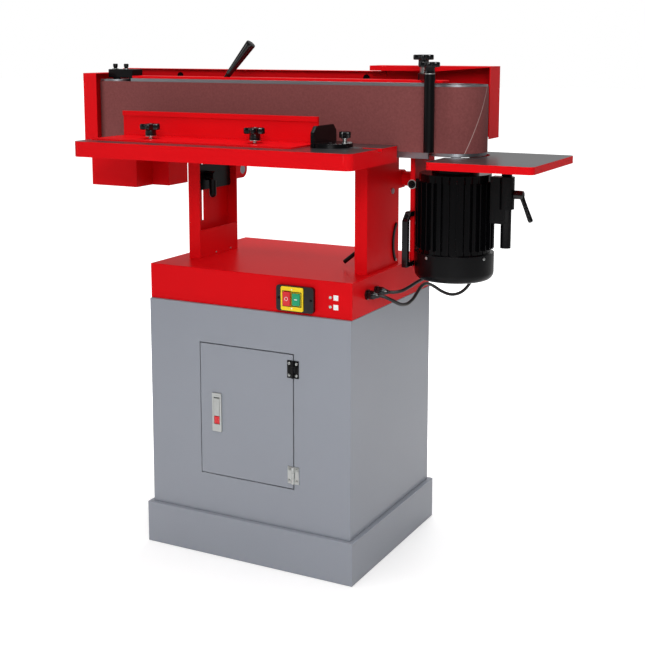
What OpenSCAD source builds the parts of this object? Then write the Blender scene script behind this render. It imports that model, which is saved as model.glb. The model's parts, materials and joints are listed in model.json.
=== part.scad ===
// Edge sander on a cabinet stand: a vertical sanding belt runs between a motor drum and an idler
// drum on a head that tilts back, with a height-adjustable main table and an end table.
// Millimetres. X runs along the belt, Y to the back, Z up. The origin is on the floor, mid plinth.

/* [Stand] */
// Width of the plinth
plinth_w = 574; // [560:1:640]
// Depth of the plinth
plinth_d = 484; // [470:1:560]
// Height of the plinth
plinth_h = 104; // [80:1:140]
// Width of the cabinet and of the cap on it
cabinet_w = 552; // [530:1:556]
// Depth of the cabinet
cabinet_d = 460; // [452:1:466]
// Height of the cabinet
cabinet_h = 522; // [480:1:600]
// Depth of the cap
cap_d = 448; // [430:1:452]
// Height of the cap
cap_h = 86; // [80:1:110]
// Thickness of the cabinet sheet
sheet = 3; // [2:0.5:4]

/* [Door] */
// Width of the door
door_w = 256; // [220:1:300]
// Height of the door
door_h = 325; // [280:1:360]
// Height of the door's lower edge above the plinth
door_lift = 101; // [80:1:120]
// Gap around the door
door_gap = 2; // [1:0.5:3]

/* [Columns] */
// Distance between the outer faces of the columns
column_span = 494; // [460:1:520]
// Width of a column flange
column_w = 32; // [28:1:40]
// Depth of a column
column_d = 178; // [160:1:200]
// Height of the columns above the cap
column_h = 263.5; // [240:0.5:300]
// Thickness of the column plate
column_t = 5; // [4:0.5:6]

/* [Main table] */
// Length of the table
table_w = 745; // [700:1:780]
// Depth of the table
table_d = 255; // [240:1:270]
// Height of the table's rim
table_h = 37; // [34:1:44]
// Thickness of the table plate
table_t = 14; // [12:1:16]
// Width of the mitre slot
slot_w = 19; // [16:0.5:22]
// Depth of the mitre slot
slot_d = 8; // [6:0.5:9]

/* [Fence] */
// Length of the fence
fence_l = 554; // [500:1:560]
// Depth of the fence's foot
fence_d = 133; // [120:1:140]
// Height of the fence
fence_h = 65; // [50:1:80]

/* [Belt] */
// Width of the sanding belt
belt_w = 150; // [140:1:160]
// Thickness of the sanding belt
belt_t = 1.5; // [1:0.25:2]
// Distance between the drum axes
drum_pitch = 946; // [900:1:980]
// Outer radius of the belt round the drive drum
drive_r = 72.5; // [68:0.5:76]
// Outer radius of the belt round the idler drum
idler_r = 44; // [40:0.5:48]

/* [Motor] */
// Radius of the motor over its fins
motor_r = 92; // [86:0.5:96]
// Height of the motor
motor_h = 248; // [230:1:260]
// Number of cooling fins
fin_count = 30; // [20:1:36]

/* [End table] */
// Length of the end table
end_w = 245; // [220:1:270]
// Depth of the end table
end_d = 307; // [290:1:330]
// Thickness of the end table
end_t = 17; // [14:0.5:20]

/* [Hidden] */
$fn = 48;

// Overrun of every cut
cut = 1;
// Steps of an arc that is drawn point by point
arc_steps = 36;
// Gap of a running fit on a shaft, and of parts that slide past each other
run_gap = 0.05;
slide_gap = 0.5;

// Colours
red = "#c80f16";
grey = "#8d9199";
black = "#17171a";
steel = "#b9bcc0";
dark_steel = "#55565a";

// Levels of the stand
cabinet_z = plinth_h;
cap_z = cabinet_z + cabinet_h;
deck_z = cap_z + cap_h;
column_top = deck_z + column_h;
cabinet_y0 = -cabinet_d / 2;
cap_y0 = -cap_d / 2;

// Plinth flange that carries the cabinet
plinth_lip = 40;

// Door: its middle stands left of the cabinet's middle
door_offset = -2;
door_x = [door_offset - door_w / 2, door_offset + door_w / 2];
door_z = [cabinet_z + door_lift, cabinet_z + door_lift + door_h];
door_y = [cabinet_y0, cabinet_y0 + sheet];

// Hinges: flat leaves on the front face, barrel tangent to it
leaf_w = 15;
leaf_h = 42;
leaf_t = 2;
barrel_r = 3.5;
hinge_pin_r = 1.6;
knuckle_gap = 0.4;
hinge_inset = 34;
hinge_x = door_x[1] + door_gap / 2;
hinge_y = cabinet_y0 - barrel_r;
hinge_zs = [door_z[0] + hinge_inset - leaf_h / 2, door_z[1] - hinge_inset - leaf_h / 2];

// Latch: a flush plate with a lever, and a push button under it
latch_w = 26;
latch_h = 96;
latch_t = 4;
latch_inset = 47;
latch_x = door_x[0] + latch_inset;
latch_lift = 110;
latch_z = door_z[0] + latch_lift;
latch_body_d = 20;
latch_margin = 4;
latch_lever_w = latch_w - 2 * latch_margin;
latch_button_h = 19;
latch_foot = 19;
latch_head = 14;
latch_lever_z = [latch_z + latch_foot + latch_button_h + 2 * slide_gap, latch_z + latch_h - latch_head];
latch_button_z = [latch_z + latch_foot, latch_z + latch_foot + latch_button_h];
latch_lever_t = 3;
latch_travel = 3;

// Switch on the cap's front
switch_w = 98;
switch_h = 61;
switch_t = 9;
switch_corner_r = 8;
switch_x = 133;
switch_share = 0.44;
switch_z = cap_z + cap_h * switch_share;
switch_plate_w = 58;
switch_plate_h = 56;
switch_plate_t = 3;
switch_plate_shift = -6;
switch_core = 46;
switch_core_d = 50;
button_w = 19;
stop_h = 33;
start_h = 28;
button_gap = 25;
button_proud = 4;
button_travel = 3;
button_depth = 9;
button_corner_r = 2;

// Pilot lights beside the switch
pilot_r = 3.5;
pilot_x = 221;
pilot_pitch = 22;
pilot_len = 8;
pilot_proud = 2;

// Cable glands on the cap's right face
gland_r = 12;
gland_nut = 12;
gland_nose_r = 8;
gland_len = 32;
gland_ys = [-148, -100];
gland_in = 9;
gland_lift = 47;
gland_z = cap_z + gland_lift;

// Cable routes, from the gland to the motor's terminal box
cable_r = 4;
cable_sides = 8;
motor_route = [[289, -100, 673], [314, -100, 673], [334, -88, 675], [344, -60, 681], [346, -30, 685],
               [347, 0, 687], [348, 30, 687], [350, 60, 687], [353, 90, 690], [358, 112, 702],
               [366, 126, 724], [374, 132, 752], [378, 132, 780], [378, 132, 800]];
control_route = [[289, -148, 673], [314, -148, 673], [333, -135, 663], [342, -108, 649], [346, -78, 644],
                 [347, -46, 649], [345, -16, 659], [342, 16, 668], [342, 48, 670], [348, 76, 660],
                 [362, 94, 645], [382, 102, 637], [404, 106, 641], [422, 110, 656], [434, 116, 678],
                 [442, 124, 706], [446, 130, 736], [448, 132, 768], [448, 132, 800]];

// Columns: channels with their open side inwards
column_shift = 15;
column_x = [column_shift - column_span / 2, column_shift + column_span / 2];
column_front = -119;
column_y = [column_front, column_front + column_d];
gusset_h = 70;

// Tilt axis, behind the columns
pivot_back = 29;
pivot_y = column_y[1] + pivot_back;
pivot_lift = 206;
pivot_z = deck_z + pivot_lift;
pivot_r = 12;
pivot_tube_r = 18;
pivot_ear_r = 22;
pivot_stub = 58;

// Main table, its front edge furthest forward
table_lift = 0.5;
table_z = [column_top + table_lift, column_top + table_lift + table_h];
belt_setback = 50;
belt_y = column_y[0] + belt_setback;
table_belt_gap = 5;
table_reach = 60;
table_x = [column_x[1] + table_reach - table_w, column_x[1] + table_reach];
table_y = [belt_y - table_belt_gap - table_d, belt_y - table_belt_gap];
table_rim = 8;
table_corner_r = 18;
slot_back = 106;
slot_y = table_y[1] - slot_back;
slot_rib = 8;

// Table brackets that slide in the columns
bracket_t = 8;
bracket_gap = 4;
bracket_h = 64;
bracket_lift = 168;
bracket_z0 = deck_z + bracket_lift;
table_rise = 30;
lock_r = 6;
lock_side = 0.3;
lock_lift = 203;
lock_back = 59;
lock_z = deck_z + lock_lift;
lock_y = column_y[0] + lock_back;
lock_nut_r = 11;
lock_nut = 6;
lock_hub_r = 12;
lock_hub = 26;
lock_lever_l = 46;
lock_lever_r = 9;
lock_slot_low = 88;
guide_r = 5;
guide_head_r = 7;
guide_head = 3;
guide_back = 139;
guide_lift = 182;
guide_y = column_y[0] + guide_back;
guide_z = deck_z + guide_lift;

// Tilt lock lever in the foot of the right column
tilt_lock_lift = 56;
tilt_lock_z = deck_z + tilt_lock_lift;
tilt_lock_y = -60;
tilt_lock_hub_r = 11;
tilt_lock_hub = 8;
tilt_lock_in = 10;
tilt_lock_rod_r = 5;
tilt_lock_rod = 66;
tilt_lock_angle = 51;

// Fence: an angle with a folded top edge, held by two star knobs
fence_t = 4;
fence_hem = 12;
fence_inset = 20;
fence_front = 50;
fence_x = [table_x[0] + fence_inset, table_x[0] + fence_inset + fence_l];
fence_y = [table_y[0] + fence_front, table_y[0] + fence_front + fence_d];
fence_slot = 60;
fence_knob_back = 62;
fence_knob_y = fence_y[0] + fence_knob_back;
fence_knob_inset = 131;
fence_knob_pitch = 293;
fence_knob_x = [fence_x[0] + fence_knob_inset, fence_x[0] + fence_knob_inset + fence_knob_pitch];
fence_slot_w = 10;
fence_knob_share = 1.2;
fence_knob_lift = 8;
fence_collar_r = 7;

// Star knobs
knob_r = 15;
knob_lobe_r = 7;
knob_head = 12;
knob_neck_r = 11;
knob_neck = 13;
knob_stud_r = 4;
knob_washer_r = 10;
knob_washer = 2.5;
knob_lobes = 5;

// Mitre gauge on its bar
mitre_gap = 24;
mitre_x = fence_x[1] + mitre_gap;
mitre_bar_l = 100;
mitre_bar_gap = 0.4;
mitre_face_t = 9;
mitre_face_w = 112;
mitre_face_h = 48;
mitre_face_back = 54;
mitre_r = 52;
mitre_t = 9;
mitre_pivot = 22;
mitre_pin_r = 5;
mitre_face_cut = 14;
mitre_knob_share = 0.72;

// Levels of the head
belt_lift = 15;
belt_z = [table_z[1] - belt_lift, table_z[1] - belt_lift + belt_w];
base_drop = 6;
base_t = 8;
base_z = [belt_z[0] - base_drop - base_t, belt_z[0] - base_drop];
drum_over = 4;
drum_under = 8;
drum_z = [belt_z[0] - drum_under, belt_z[1] + drum_over];
platen_t = 6;
platen_gap = 0.3;
platen_y = [belt_y + belt_t + platen_gap, belt_y + belt_t + platen_gap + platen_t];
platen_over = 8;
beam_z = [base_z[1], belt_z[1] + platen_over];
beam_d = 46;
beam_y = [platen_y[1], platen_y[1] + beam_d];
beam_t = 5;
beam_plate_t = 6;

// Motor side: the plate hangs just past the table's right end, the motor stands beside it
plate_gap = 4;
plate_t = 8;
motor_foot = 4;
plate_x = [table_x[1] + plate_gap, table_x[1] + plate_gap + plate_t];
plate_front = -20;
plate_over = 51;
plate_y = [plate_front, column_y[1] + plate_over];
plate_drop = 262;
plate_z = [base_z[0] - plate_drop, base_z[0]];
plate_flange = 12;
plate_flange_t = 6;
drive_x = plate_x[1] + motor_foot + motor_r;
drive = [drive_x, belt_y + drive_r];
idler_x = drive_x - drum_pitch;
idler = [idler_x, belt_y + idler_r];
drum_gap = 0.3;
drum_wall = 8;
drum_recess = 16;
beam_clear = 14;
beam_idler_gap = 32;
beam_x = [idler_x + idler_r + beam_idler_gap, drive_x - drive_r - beam_clear];
platen_short = 40;
platen_x = [beam_x[0], drive_x - platen_short];

// Motor
motor_drop = 36;
motor_top = base_z[0] - motor_drop;
motor_z = [motor_top - motor_h, motor_top];
motor_core_share = 0.91;
motor_core_r = motor_r * motor_core_share;
motor_bore_r = 60;
motor_bell = 18;
fan_cover_h = 64;
fan_cover_t = 2;
fan_cover_over = 0.5;
fan_cover_round = 18;
spigot_r = motor_r + fan_cover_over - fan_cover_t - run_gap;
fin_t = 3;
shaft_r = 12;
rotor_gap = 1;
rotor_end = 4;
motor_bearing_r = 20;
motor_bearing_h = 12;
spigot_h = 8;
housing_z = [motor_z[0] + fan_cover_h - spigot_h, motor_z[1]];
end_bell_r = 55;
end_bell_h = 22;
bell_top = housing_z[1] + end_bell_h;
fan_r = 70;
fan_t = 3;
fan_hub_r = 18;
fan_blades = 8;
fan_lift = 20;
fan_h = 26;
fan_z = [motor_z[0] + fan_lift, motor_z[0] + fan_lift + fan_h];
fan_slots = 12;
fan_slot_w = 6;
fan_slot_l = 43;
foot_h = 34;
foot_w = 32;
foot_reach = 40;
foot_bolt_r = 5;
foot_bolt_end = 2;
terminal_left = 66;
terminal_w = 100;
terminal_lift = 100;
terminal_h = 80;
terminal_x = [drive_x - terminal_left, drive_x - terminal_left + terminal_w];
terminal_z = [motor_z[0] + terminal_lift, motor_z[0] + terminal_lift + terminal_h];
terminal_back = 58;

// Pull handle on the motor plate
handle_t = 12;
handle_w = 15;
handle_left = 2;
handle_x = plate_x[0] - handle_left;
handle_reach = 42;
handle_bevel = 20;
handle_lift = 4;
handle_h = 130;
handle_z = [plate_z[0] + handle_lift, plate_z[0] + handle_lift + handle_h];

// Idler yoke, which slides along the beam
yoke_web_gap = 6;
yoke_web_t = 12;
yoke_front = 15;
yoke_back = 29;
yoke_reach = 16;
yoke_gap = 4;
yoke_block = 22;
yoke_foot = 5;
yoke_y = [idler[1] - yoke_front, idler[1] + yoke_back];
yoke_x = [idler_x - yoke_reach, idler_x + idler_r + yoke_web_gap + yoke_web_t];
yoke_top = [drum_z[1] + yoke_gap, drum_z[1] + yoke_gap + yoke_block];
yoke_low = [base_z[0], base_z[0] + yoke_foot];
yoke_bar = 26;
yoke_bar_len = 120;
yoke_bar_z = (beam_z[0] + beam_z[1]) / 2;
idler_shaft_r = 10;
idler_bearing_r = 21;
idler_bearing_h = 14;
track_screw_r = 5;
track_screw_h = 14;
track_screw_in = [12, 47];
tension_travel = 12;
base_gap = 24;

// Tension lever on the beam
lever_in = 251;
lever_x = beam_x[0] + lever_in;
lever_y = (beam_y[0] + beam_y[1]) / 2;
lever_tilt = 41;
lever_rod = 42;
lever_rod_r = 6.5;
lever_grip = 102;
lever_grip_root_r = 7.4;
lever_grip_r = 12.6;
lever_hub_r = 11;
lever_hub_w = 16;
lever_depth = 20;
lever_z = beam_z[1] - lever_depth;
lever_slot = 34;
lever_slot_w = 16;

// Guards round the back of the belt
guard_t = 2;
guard_back = 20;
guard_rise = 30;
guard_y = pivot_y + guard_back;
guard_top = belt_z[1] + guard_rise;
guard_lip = 16;
left_cover_gap = 24;
left_cover_rise = 20;
left_cover_front = 11;
left_cover_x = idler_x - idler_r - left_cover_gap;
left_cover_top = belt_z[1] + left_cover_rise;
left_cover_flange = 42;
left_cover_y = belt_y - left_cover_front;
right_cover_out = 65;
right_cover_rise = 44;
right_cover_lift = 27;
right_cover_x = drive_x + right_cover_out;
right_cover_top = belt_z[1] + right_cover_rise;
right_cover_bottom = belt_z[0] + right_cover_lift;
right_cover_front = 41.5;
right_cover_y = drive[1] + right_cover_front;
right_cover_lip = 12;
right_cover_taper = 65;
right_cover_reach = 226;
right_cover_start = drive_x - right_cover_reach;
guard_x = [left_cover_x, right_cover_start];

// Dust chute under the idler, with a round outlet at the back
chute_t = 2;
chute_h = 110;
chute_in = 13;
chute_w = [145, 197];
chute_front = 1;
chute_step = 69;
chute_back = 20;
chute_z = [base_z[0] - chute_h, base_z[0]];
chute_left = left_cover_x + chute_in;
chute_x = [chute_left, chute_left + chute_w[0], chute_left + chute_w[1]];
chute_y = [belt_y - chute_front, belt_y + chute_step, guard_y - chute_back];
port_r = 50;
port_len = 45;
port_wall = 2;

// Work stop across the belt, on a slotted arm
stop_post_r = 12;
stop_gap = 17;
stop_post_in = 26;
stop_pivot_in = 65;
stop_pivot_back = 21;
stop_post = [drive_x - stop_post_in, belt_y - stop_post_r - stop_gap];
stop_pivot = [drive_x - stop_pivot_in, beam_y[0] + stop_pivot_back];
stop_arm_t = 14;
stop_arm_w = 26;
stop_bar_w = 22;
stop_collar_r = 8;
stop_collar = 15;
stop_arm_z = beam_z[1] + beam_plate_t + slide_gap;
stop_drop = 4;
top_plate_over = 15;
top_plate_x = [beam_x[0], stop_post[0] + top_plate_over];

// End table on a post beside the motor
end_gap = 8;
end_start = 3.5;
end_front = -194;
end_x = [drive_x + end_start, drive_x + end_start + end_w];
end_y = [end_front, end_front + end_d];
end_z = [belt_z[0] - end_gap - end_t, belt_z[0] - end_gap];
end_corner_r = 14;
end_notch_gap = 6;
end_notch_r = drive_r + end_notch_gap;
post_r = 12;
post_gap = 34;
post_x = drive_x + motor_r + post_gap;
post_y = 0;
post_len = 191.5;
post_z0 = end_z[0] - post_len;
post_plate = 6;
post_plate_r = 28;
sleeve_r = 18;
sleeve_drop = 101.5;
sleeve_h = 74;
sleeve_z = [end_z[0] - sleeve_drop, end_z[0] - sleeve_drop + sleeve_h];
arm_w = 28;
arm_drop = 34;
arm_z = [sleeve_z[0] - arm_drop, sleeve_z[1]];
clamp_lift = 34;
clamp_z = sleeve_z[0] + clamp_lift;
clamp_hub_r = 10;
clamp_hub = 22;
clamp_arm = 66;
clamp_arm_r = 6;
clamp_tilt = 22;

// Box between pairs of coordinates
module block(x, y, z) {
  translate([x[0], y[0], z[0]])
    cube([x[1] - x[0], y[1] - y[0], z[1] - z[0]]);
}

// Rods along the three axes, at the other two coordinates
module rod_x(y, z, r, x) {
  translate([x[0], y, z])
    rotate([0, 90, 0])
      cylinder(r = r, h = x[1] - x[0]);
}

module rod_y(x, z, r, y) {
  translate([x, y[0], z])
    rotate([-90, 0, 0])
      cylinder(r = r, h = y[1] - y[0]);
}

module rod_z(x, y, r, z) {
  translate([x, y, z[0]])
    cylinder(r = r, h = z[1] - z[0]);
}

// Rectangle with round corners, from its lower left corner
module round_rect(w, d, r) {
  translate([r, 0])
    square([w - 2 * r, d]);
  translate([0, r])
    square([w, d - 2 * r]);
  for (x = [r, w - r], y = [r, d - r])
    translate([x, y])
      circle(r = r);
}

// Upright plate with round corners, facing the front
module front_plate(x, z, y, r) {
  translate([x[0], y[1], z[0]])
    rotate([90, 0, 0])
      linear_extrude(y[1] - y[0])
        round_rect(x[1] - x[0], z[1] - z[0], r);
}

// Box shell with walls of one thickness, open at the bottom
module shell_down(x, y, z, t) {
  difference() {
    block(x, y, z);
    block([x[0] + t, x[1] - t], [y[0] + t, y[1] - t], [z[0] - cut, z[1] - t]);
  }
}

// Star knob on a stud, from the face it clamps upwards
module star_knob(stud, scale_share) {
  s = scale_share;
  neck = knob_washer + knob_neck;
  rotate_extrude()
    polygon([[0, -stud], [knob_stud_r, -stud], [knob_stud_r, 0], [knob_washer_r * s, 0],
             [knob_washer_r * s, knob_washer], [knob_neck_r * s, knob_washer],
             [knob_neck_r * s, neck + knob_head / 2], [0, neck + knob_head / 2]]);
  translate([0, 0, neck])
    linear_extrude(knob_head)
      star_outline(s);
}

module star_outline(s) {
  circle(r = knob_r * s);
  for (i = [0 : knob_lobes - 1])
    rotate(i * 360 / knob_lobes)
      translate([knob_r * s, 0])
        circle(r = knob_lobe_r * s);
}

// Points round an arc, from the first angle to the last
function arc(c, r, a) =
  [for (i = [0 : arc_steps]) let (t = a[0] + (a[1] - a[0]) * i / arc_steps) c + r * [cos(t), sin(t)]];

// Area inside the belt's loop, set in from its outer face: both drums touch the straight front run
module loop_area(inset) {
  lean = atan2(drive[1] - idler[1], drive[0] - idler[0]);
  polygon(concat(arc(drive, drive_r - inset, [-90, 90 + 2 * lean]),
                 arc(idler, idler_r - inset, [90 + 2 * lean, 270])));
}

// Tube swept along a route: a ring of points across the mean direction at each of its points
function unit(v) = v / norm(v);
function heading(p, i) = unit(p[min(i + 1, len(p) - 1)] - p[max(i - 1, 0)]);
function across(v) = unit(cross(v, abs(v[2]) < 0.9 ? [0, 0, 1] : [0, 1, 0]));
function carried(side, v) = unit(side - (side * v) * v);
function sides(p, i) = i == 0 ? across(heading(p, 0)) : carried(sides(p, i - 1), heading(p, i));

module cable(p) {
  n = len(p);
  k = cable_sides;
  rings = [for (i = [0 : n - 1])
             let (v = heading(p, i), u = sides(p, i), w = cross(v, u))
             for (j = [0 : k - 1])
               p[i] + cable_r * (cos(j * 360 / k) * u + sin(j * 360 / k) * w)];
  skin = [for (i = [0 : n - 2], j = [0 : k - 1])
            for (t = [0, 1])
              t == 0 ? [i * k + j, (i + 1) * k + j, (i + 1) * k + (j + 1) % k]
                     : [i * k + j, (i + 1) * k + (j + 1) % k, i * k + (j + 1) % k]];
  first = [for (j = [1 : k - 2]) [0, j, j + 1]];
  last = [for (j = [1 : k - 2]) [(n - 1) * k, (n - 1) * k + j + 1, (n - 1) * k + j]];
  polyhedron(points = rings, faces = concat(skin, first, last));
}

module plinth() color(grey) {
  x = [-plinth_w / 2, plinth_w / 2];
  y = [-plinth_d / 2, plinth_d / 2];
  difference() {
    block(x, y, [0, plinth_h]);
    block([x[0] + sheet, x[1] - sheet], [y[0] + sheet, y[1] - sheet], [sheet, plinth_h - sheet]);
    block([x[0] + plinth_lip, x[1] - plinth_lip], [y[0] + plinth_lip, y[1] - plinth_lip],
          [sheet, plinth_h + cut]);
  }
}

module cabinet() color(grey) {
  x = [-cabinet_w / 2, cabinet_w / 2];
  y = [cabinet_y0, -cabinet_y0];
  difference() {
    block(x, y, [cabinet_z, cap_z]);
    block([x[0] + sheet, x[1] - sheet], [y[0] + sheet, y[1] - sheet], [cabinet_z + sheet, cap_z - sheet]);
    block([door_x[0] - door_gap, door_x[1] + door_gap], [y[0] - cut, y[0] + sheet + cut],
          [door_z[0] - door_gap, door_z[1] + door_gap]);
  }
}

module door() color(grey) {
  difference() {
    block(door_x, door_y, door_z);
    block([latch_x - latch_lever_w / 2, latch_x + latch_lever_w / 2], [door_y[0] - cut, door_y[1] + cut],
          [latch_z + latch_margin, latch_z + latch_h - latch_margin]);
  }
}

// Leaf on one side of the hinge line, with its knuckles; side is 1 for the frame and -1 for the door
module hinge_leaf(z, side, knuckles) {
  k = leaf_h / 3;
  reach = barrel_r + knuckle_gap;
  a = side > 0 ? [hinge_x + reach, hinge_x + leaf_w] : [hinge_x - leaf_w, hinge_x - reach];
  b = side > 0 ? [hinge_x, hinge_x + reach] : [hinge_x - reach, hinge_x];
  block(a, [cabinet_y0 - leaf_t, cabinet_y0], [z, z + leaf_h]);
  for (i = knuckles) {
    block(b, [cabinet_y0 - leaf_t, cabinet_y0], [z + i * k + knuckle_gap, z + (i + 1) * k - knuckle_gap]);
    rod_z(hinge_x, hinge_y, barrel_r, [z + i * k + knuckle_gap, z + (i + 1) * k - knuckle_gap]);
  }
}

module door_hinge_frame_leaves() color(steel) {
  for (z = hinge_zs) {
    hinge_leaf(z, 1, [0, 2]);
    rod_z(hinge_x, hinge_y, hinge_pin_r, [z, z + leaf_h]);
  }
}

module door_hinge_door_leaves() color(steel) {
  for (z = hinge_zs)
    difference() {
      hinge_leaf(z, -1, [1]);
      rod_z(hinge_x, hinge_y, hinge_pin_r + run_gap, [z - cut, z + leaf_h + cut]);
    }
}

// Plate on the door's face with a box behind it that holds the lever and the button
module latch_housing() color(steel) {
  w = latch_lever_w / 2 - slide_gap;
  pocket = latch_lever_w / 2 - 2 * slide_gap;
  y = door_y[0];
  difference() {
    union() {
      block([latch_x - latch_w / 2, latch_x + latch_w / 2], [y - latch_t, y], [latch_z, latch_z + latch_h]);
      block([latch_x - w, latch_x + w], [y - latch_t, y + latch_body_d],
            [latch_z + latch_margin + slide_gap, latch_z + latch_h - latch_margin - slide_gap]);
    }
    block([latch_x - pocket, latch_x + pocket],
          [y - latch_t - cut, y - latch_t + latch_lever_t + 2 * slide_gap],
          [latch_lever_z[0] - slide_gap, latch_lever_z[1] + latch_lever_t + slide_gap]);
    block([latch_x - pocket, latch_x + pocket], [y - latch_t - cut, y + latch_body_d - sheet],
          [latch_button_z[0] - slide_gap, latch_button_z[1] + slide_gap]);
  }
}

module latch_lever() color(steel) {
  w = latch_lever_w / 2 - 3 * slide_gap;
  y = door_y[0] - latch_t;
  block([latch_x - w, latch_x + w], [y, y + latch_lever_t], latch_lever_z);
  rod_x(y + latch_lever_t / 2, latch_lever_z[1], latch_lever_t / 2, [latch_x - w, latch_x + w]);
}

module latch_button() color("#e0281c") {
  w = latch_lever_w / 2 - 3 * slide_gap;
  y = door_y[0] - latch_t - slide_gap;
  block([latch_x - w, latch_x + w], [y, door_y[0] + latch_body_d - sheet - latch_travel - slide_gap],
        [latch_button_z[0] + slide_gap / 2, latch_button_z[1] - slide_gap / 2]);
}

module base_cap() color(red) {
  core = switch_core / 2 + slide_gap;
  difference() {
    shell_down([-cabinet_w / 2, cabinet_w / 2], [cap_y0, -cap_y0], [cap_z, deck_z], sheet);
    block([switch_x + switch_plate_shift - core, switch_x + switch_plate_shift + core],
          [cap_y0 - cut, cap_y0 + sheet + cut], [switch_z - core, switch_z + core]);
    for (i = [-0.5, 0.5])
      rod_y(pilot_x, switch_z + i * pilot_pitch, pilot_r + run_gap, [cap_y0 - cut, cap_y0 + sheet + cut]);
    for (y = gland_ys)
      rod_x(y, gland_z, gland_nose_r + run_gap, [cabinet_w / 2 - sheet - cut, cabinet_w / 2 + cut]);
  }
}

// Places of the two push buttons across the switch
button_x = [switch_x + switch_plate_shift - button_gap / 2, switch_x + switch_plate_shift + button_gap / 2];

module button_pockets() {
  for (i = [0, 1])
    block([button_x[i] - button_w / 2 - slide_gap, button_x[i] + button_w / 2 + slide_gap],
          [cap_y0 - switch_t - switch_plate_t - cut, cap_y0 - switch_t + button_depth],
          [switch_z - (i == 0 ? stop_h : start_h) / 2 - slide_gap,
           switch_z + (i == 0 ? stop_h : start_h) / 2 + slide_gap]);
}

module switch_box() color(black) {
  c = switch_x + switch_plate_shift;
  difference() {
    union() {
      front_plate([switch_x - switch_w / 2, switch_x + switch_w / 2],
                  [switch_z - switch_h / 2, switch_z + switch_h / 2], [cap_y0 - switch_t, cap_y0],
                  switch_corner_r);
      block([c - switch_core / 2, c + switch_core / 2], [cap_y0 - switch_t, cap_y0 + switch_core_d],
            [switch_z - switch_core / 2, switch_z + switch_core / 2]);
    }
    button_pockets();
  }
}

module switch_plate() color("#f2d313") {
  c = switch_x + switch_plate_shift;
  difference() {
    front_plate([c - switch_plate_w / 2, c + switch_plate_w / 2],
                [switch_z - switch_plate_h / 2, switch_z + switch_plate_h / 2],
                [cap_y0 - switch_t - switch_plate_t, cap_y0 - switch_t], switch_corner_r / 2);
    button_pockets();
  }
}

module push_button(x, h) {
  front = cap_y0 - switch_t - switch_plate_t - button_proud;
  front_plate([x - button_w / 2, x + button_w / 2], [switch_z - h / 2, switch_z + h / 2],
              [front, cap_y0 - switch_t + button_depth - button_travel - slide_gap], button_corner_r);
}

module stop_button() color("#d8434a") push_button(button_x[0], stop_h);

module start_button() color("#0f9a6c") push_button(button_x[1], start_h);

module pilot_lights() color("#d8efe6") {
  for (i = [-0.5, 0.5]) {
    rod_y(pilot_x, switch_z + i * pilot_pitch, pilot_r, [cap_y0 - pilot_proud, cap_y0 + pilot_len]);
  }
}

// Hexagon on the cap's face, then a domed nut that the cable leaves
module cable_glands() color(black) {
  x = cabinet_w / 2;
  for (y = gland_ys)
    difference() {
      union() {
        translate([x, y, gland_z])
          rotate([0, 90, 0])
            cylinder(r = gland_r, h = gland_nut, $fn = 6);
        rod_x(y, gland_z, gland_nose_r, [x - gland_in, x + gland_len]);
      }
      rod_x(y, gland_z, cable_r + slide_gap, [x + gland_nut, x + gland_len + cut]);
    }
}

module motor_cable() color(black) cable(motor_route);

module control_cable() color(black) cable(control_route);

// Channel on the cap, its web outside, with a lug behind for the tilt shaft; side -1 is the left one
module column(side) {
  web = side < 0 ? [column_x[0], column_x[0] + column_t] : [column_x[1] - column_t, column_x[1]];
  span = side < 0 ? [column_x[0], column_x[0] + column_w] : [column_x[1] - column_w, column_x[1]];
  inner = side < 0 ? [span[1] - column_t, span[1]] : [span[0], span[0] + column_t];
  slot = [deck_z + lock_slot_low, lock_z + table_rise + lock_r + lock_side];
  difference() {
    union() {
      block(web, column_y, [deck_z, column_top]);
      for (y = [[column_y[0], column_y[0] + column_t], [column_y[1] - column_t, column_y[1]]])
        block(span, y, [deck_z, column_top]);
      block(inner, column_y, [deck_z, deck_z + gusset_h]);
      block(span, [column_y[1], pivot_y], [pivot_z - pivot_ear_r, pivot_z + pivot_ear_r]);
      rod_x(pivot_y, pivot_z, pivot_ear_r, span);
    }
    rod_x(pivot_y, pivot_z, pivot_r, [span[0] - cut, span[1] + cut]);
    if (side < 0)
      block([web[0] - cut, web[1] + cut], [lock_y - lock_r - lock_side, lock_y + lock_r + lock_side], slot);
    if (side > 0) {
      rod_x(tilt_lock_y, tilt_lock_z, tilt_lock_rod_r + run_gap, [inner[0] - cut, inner[1] + cut]);
      rod_x(guide_y, guide_z, guide_r, [web[0] - cut, web[1] + cut]);
    }
  }
}

module left_column() color(red) column(-1);

module right_column() color(red) column(1);

// Two stub shafts, one through the lug of each column
module pivot_shaft() color(steel) {
  rod_x(pivot_y, pivot_z, pivot_r, [column_x[0] - slide_gap - pivot_stub, column_x[0] + column_w]);
  rod_x(pivot_y, pivot_z, pivot_r, [column_x[1] - column_w, plate_x[0] - slide_gap]);
}

module tilt_lock_lever() color(black) {
  inner = column_x[1] - column_w;
  rod_x(tilt_lock_y, tilt_lock_z, tilt_lock_hub_r, [inner - tilt_lock_hub - slide_gap, inner - slide_gap]);
  rod_x(tilt_lock_y, tilt_lock_z, tilt_lock_rod_r, [inner - slide_gap, inner + tilt_lock_in]);
  translate([inner - slide_gap - tilt_lock_hub / 2, tilt_lock_y, tilt_lock_z])
    rotate([0, 180 + tilt_lock_angle, 0])
      cylinder(r = tilt_lock_rod_r, h = tilt_lock_rod);
}

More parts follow.
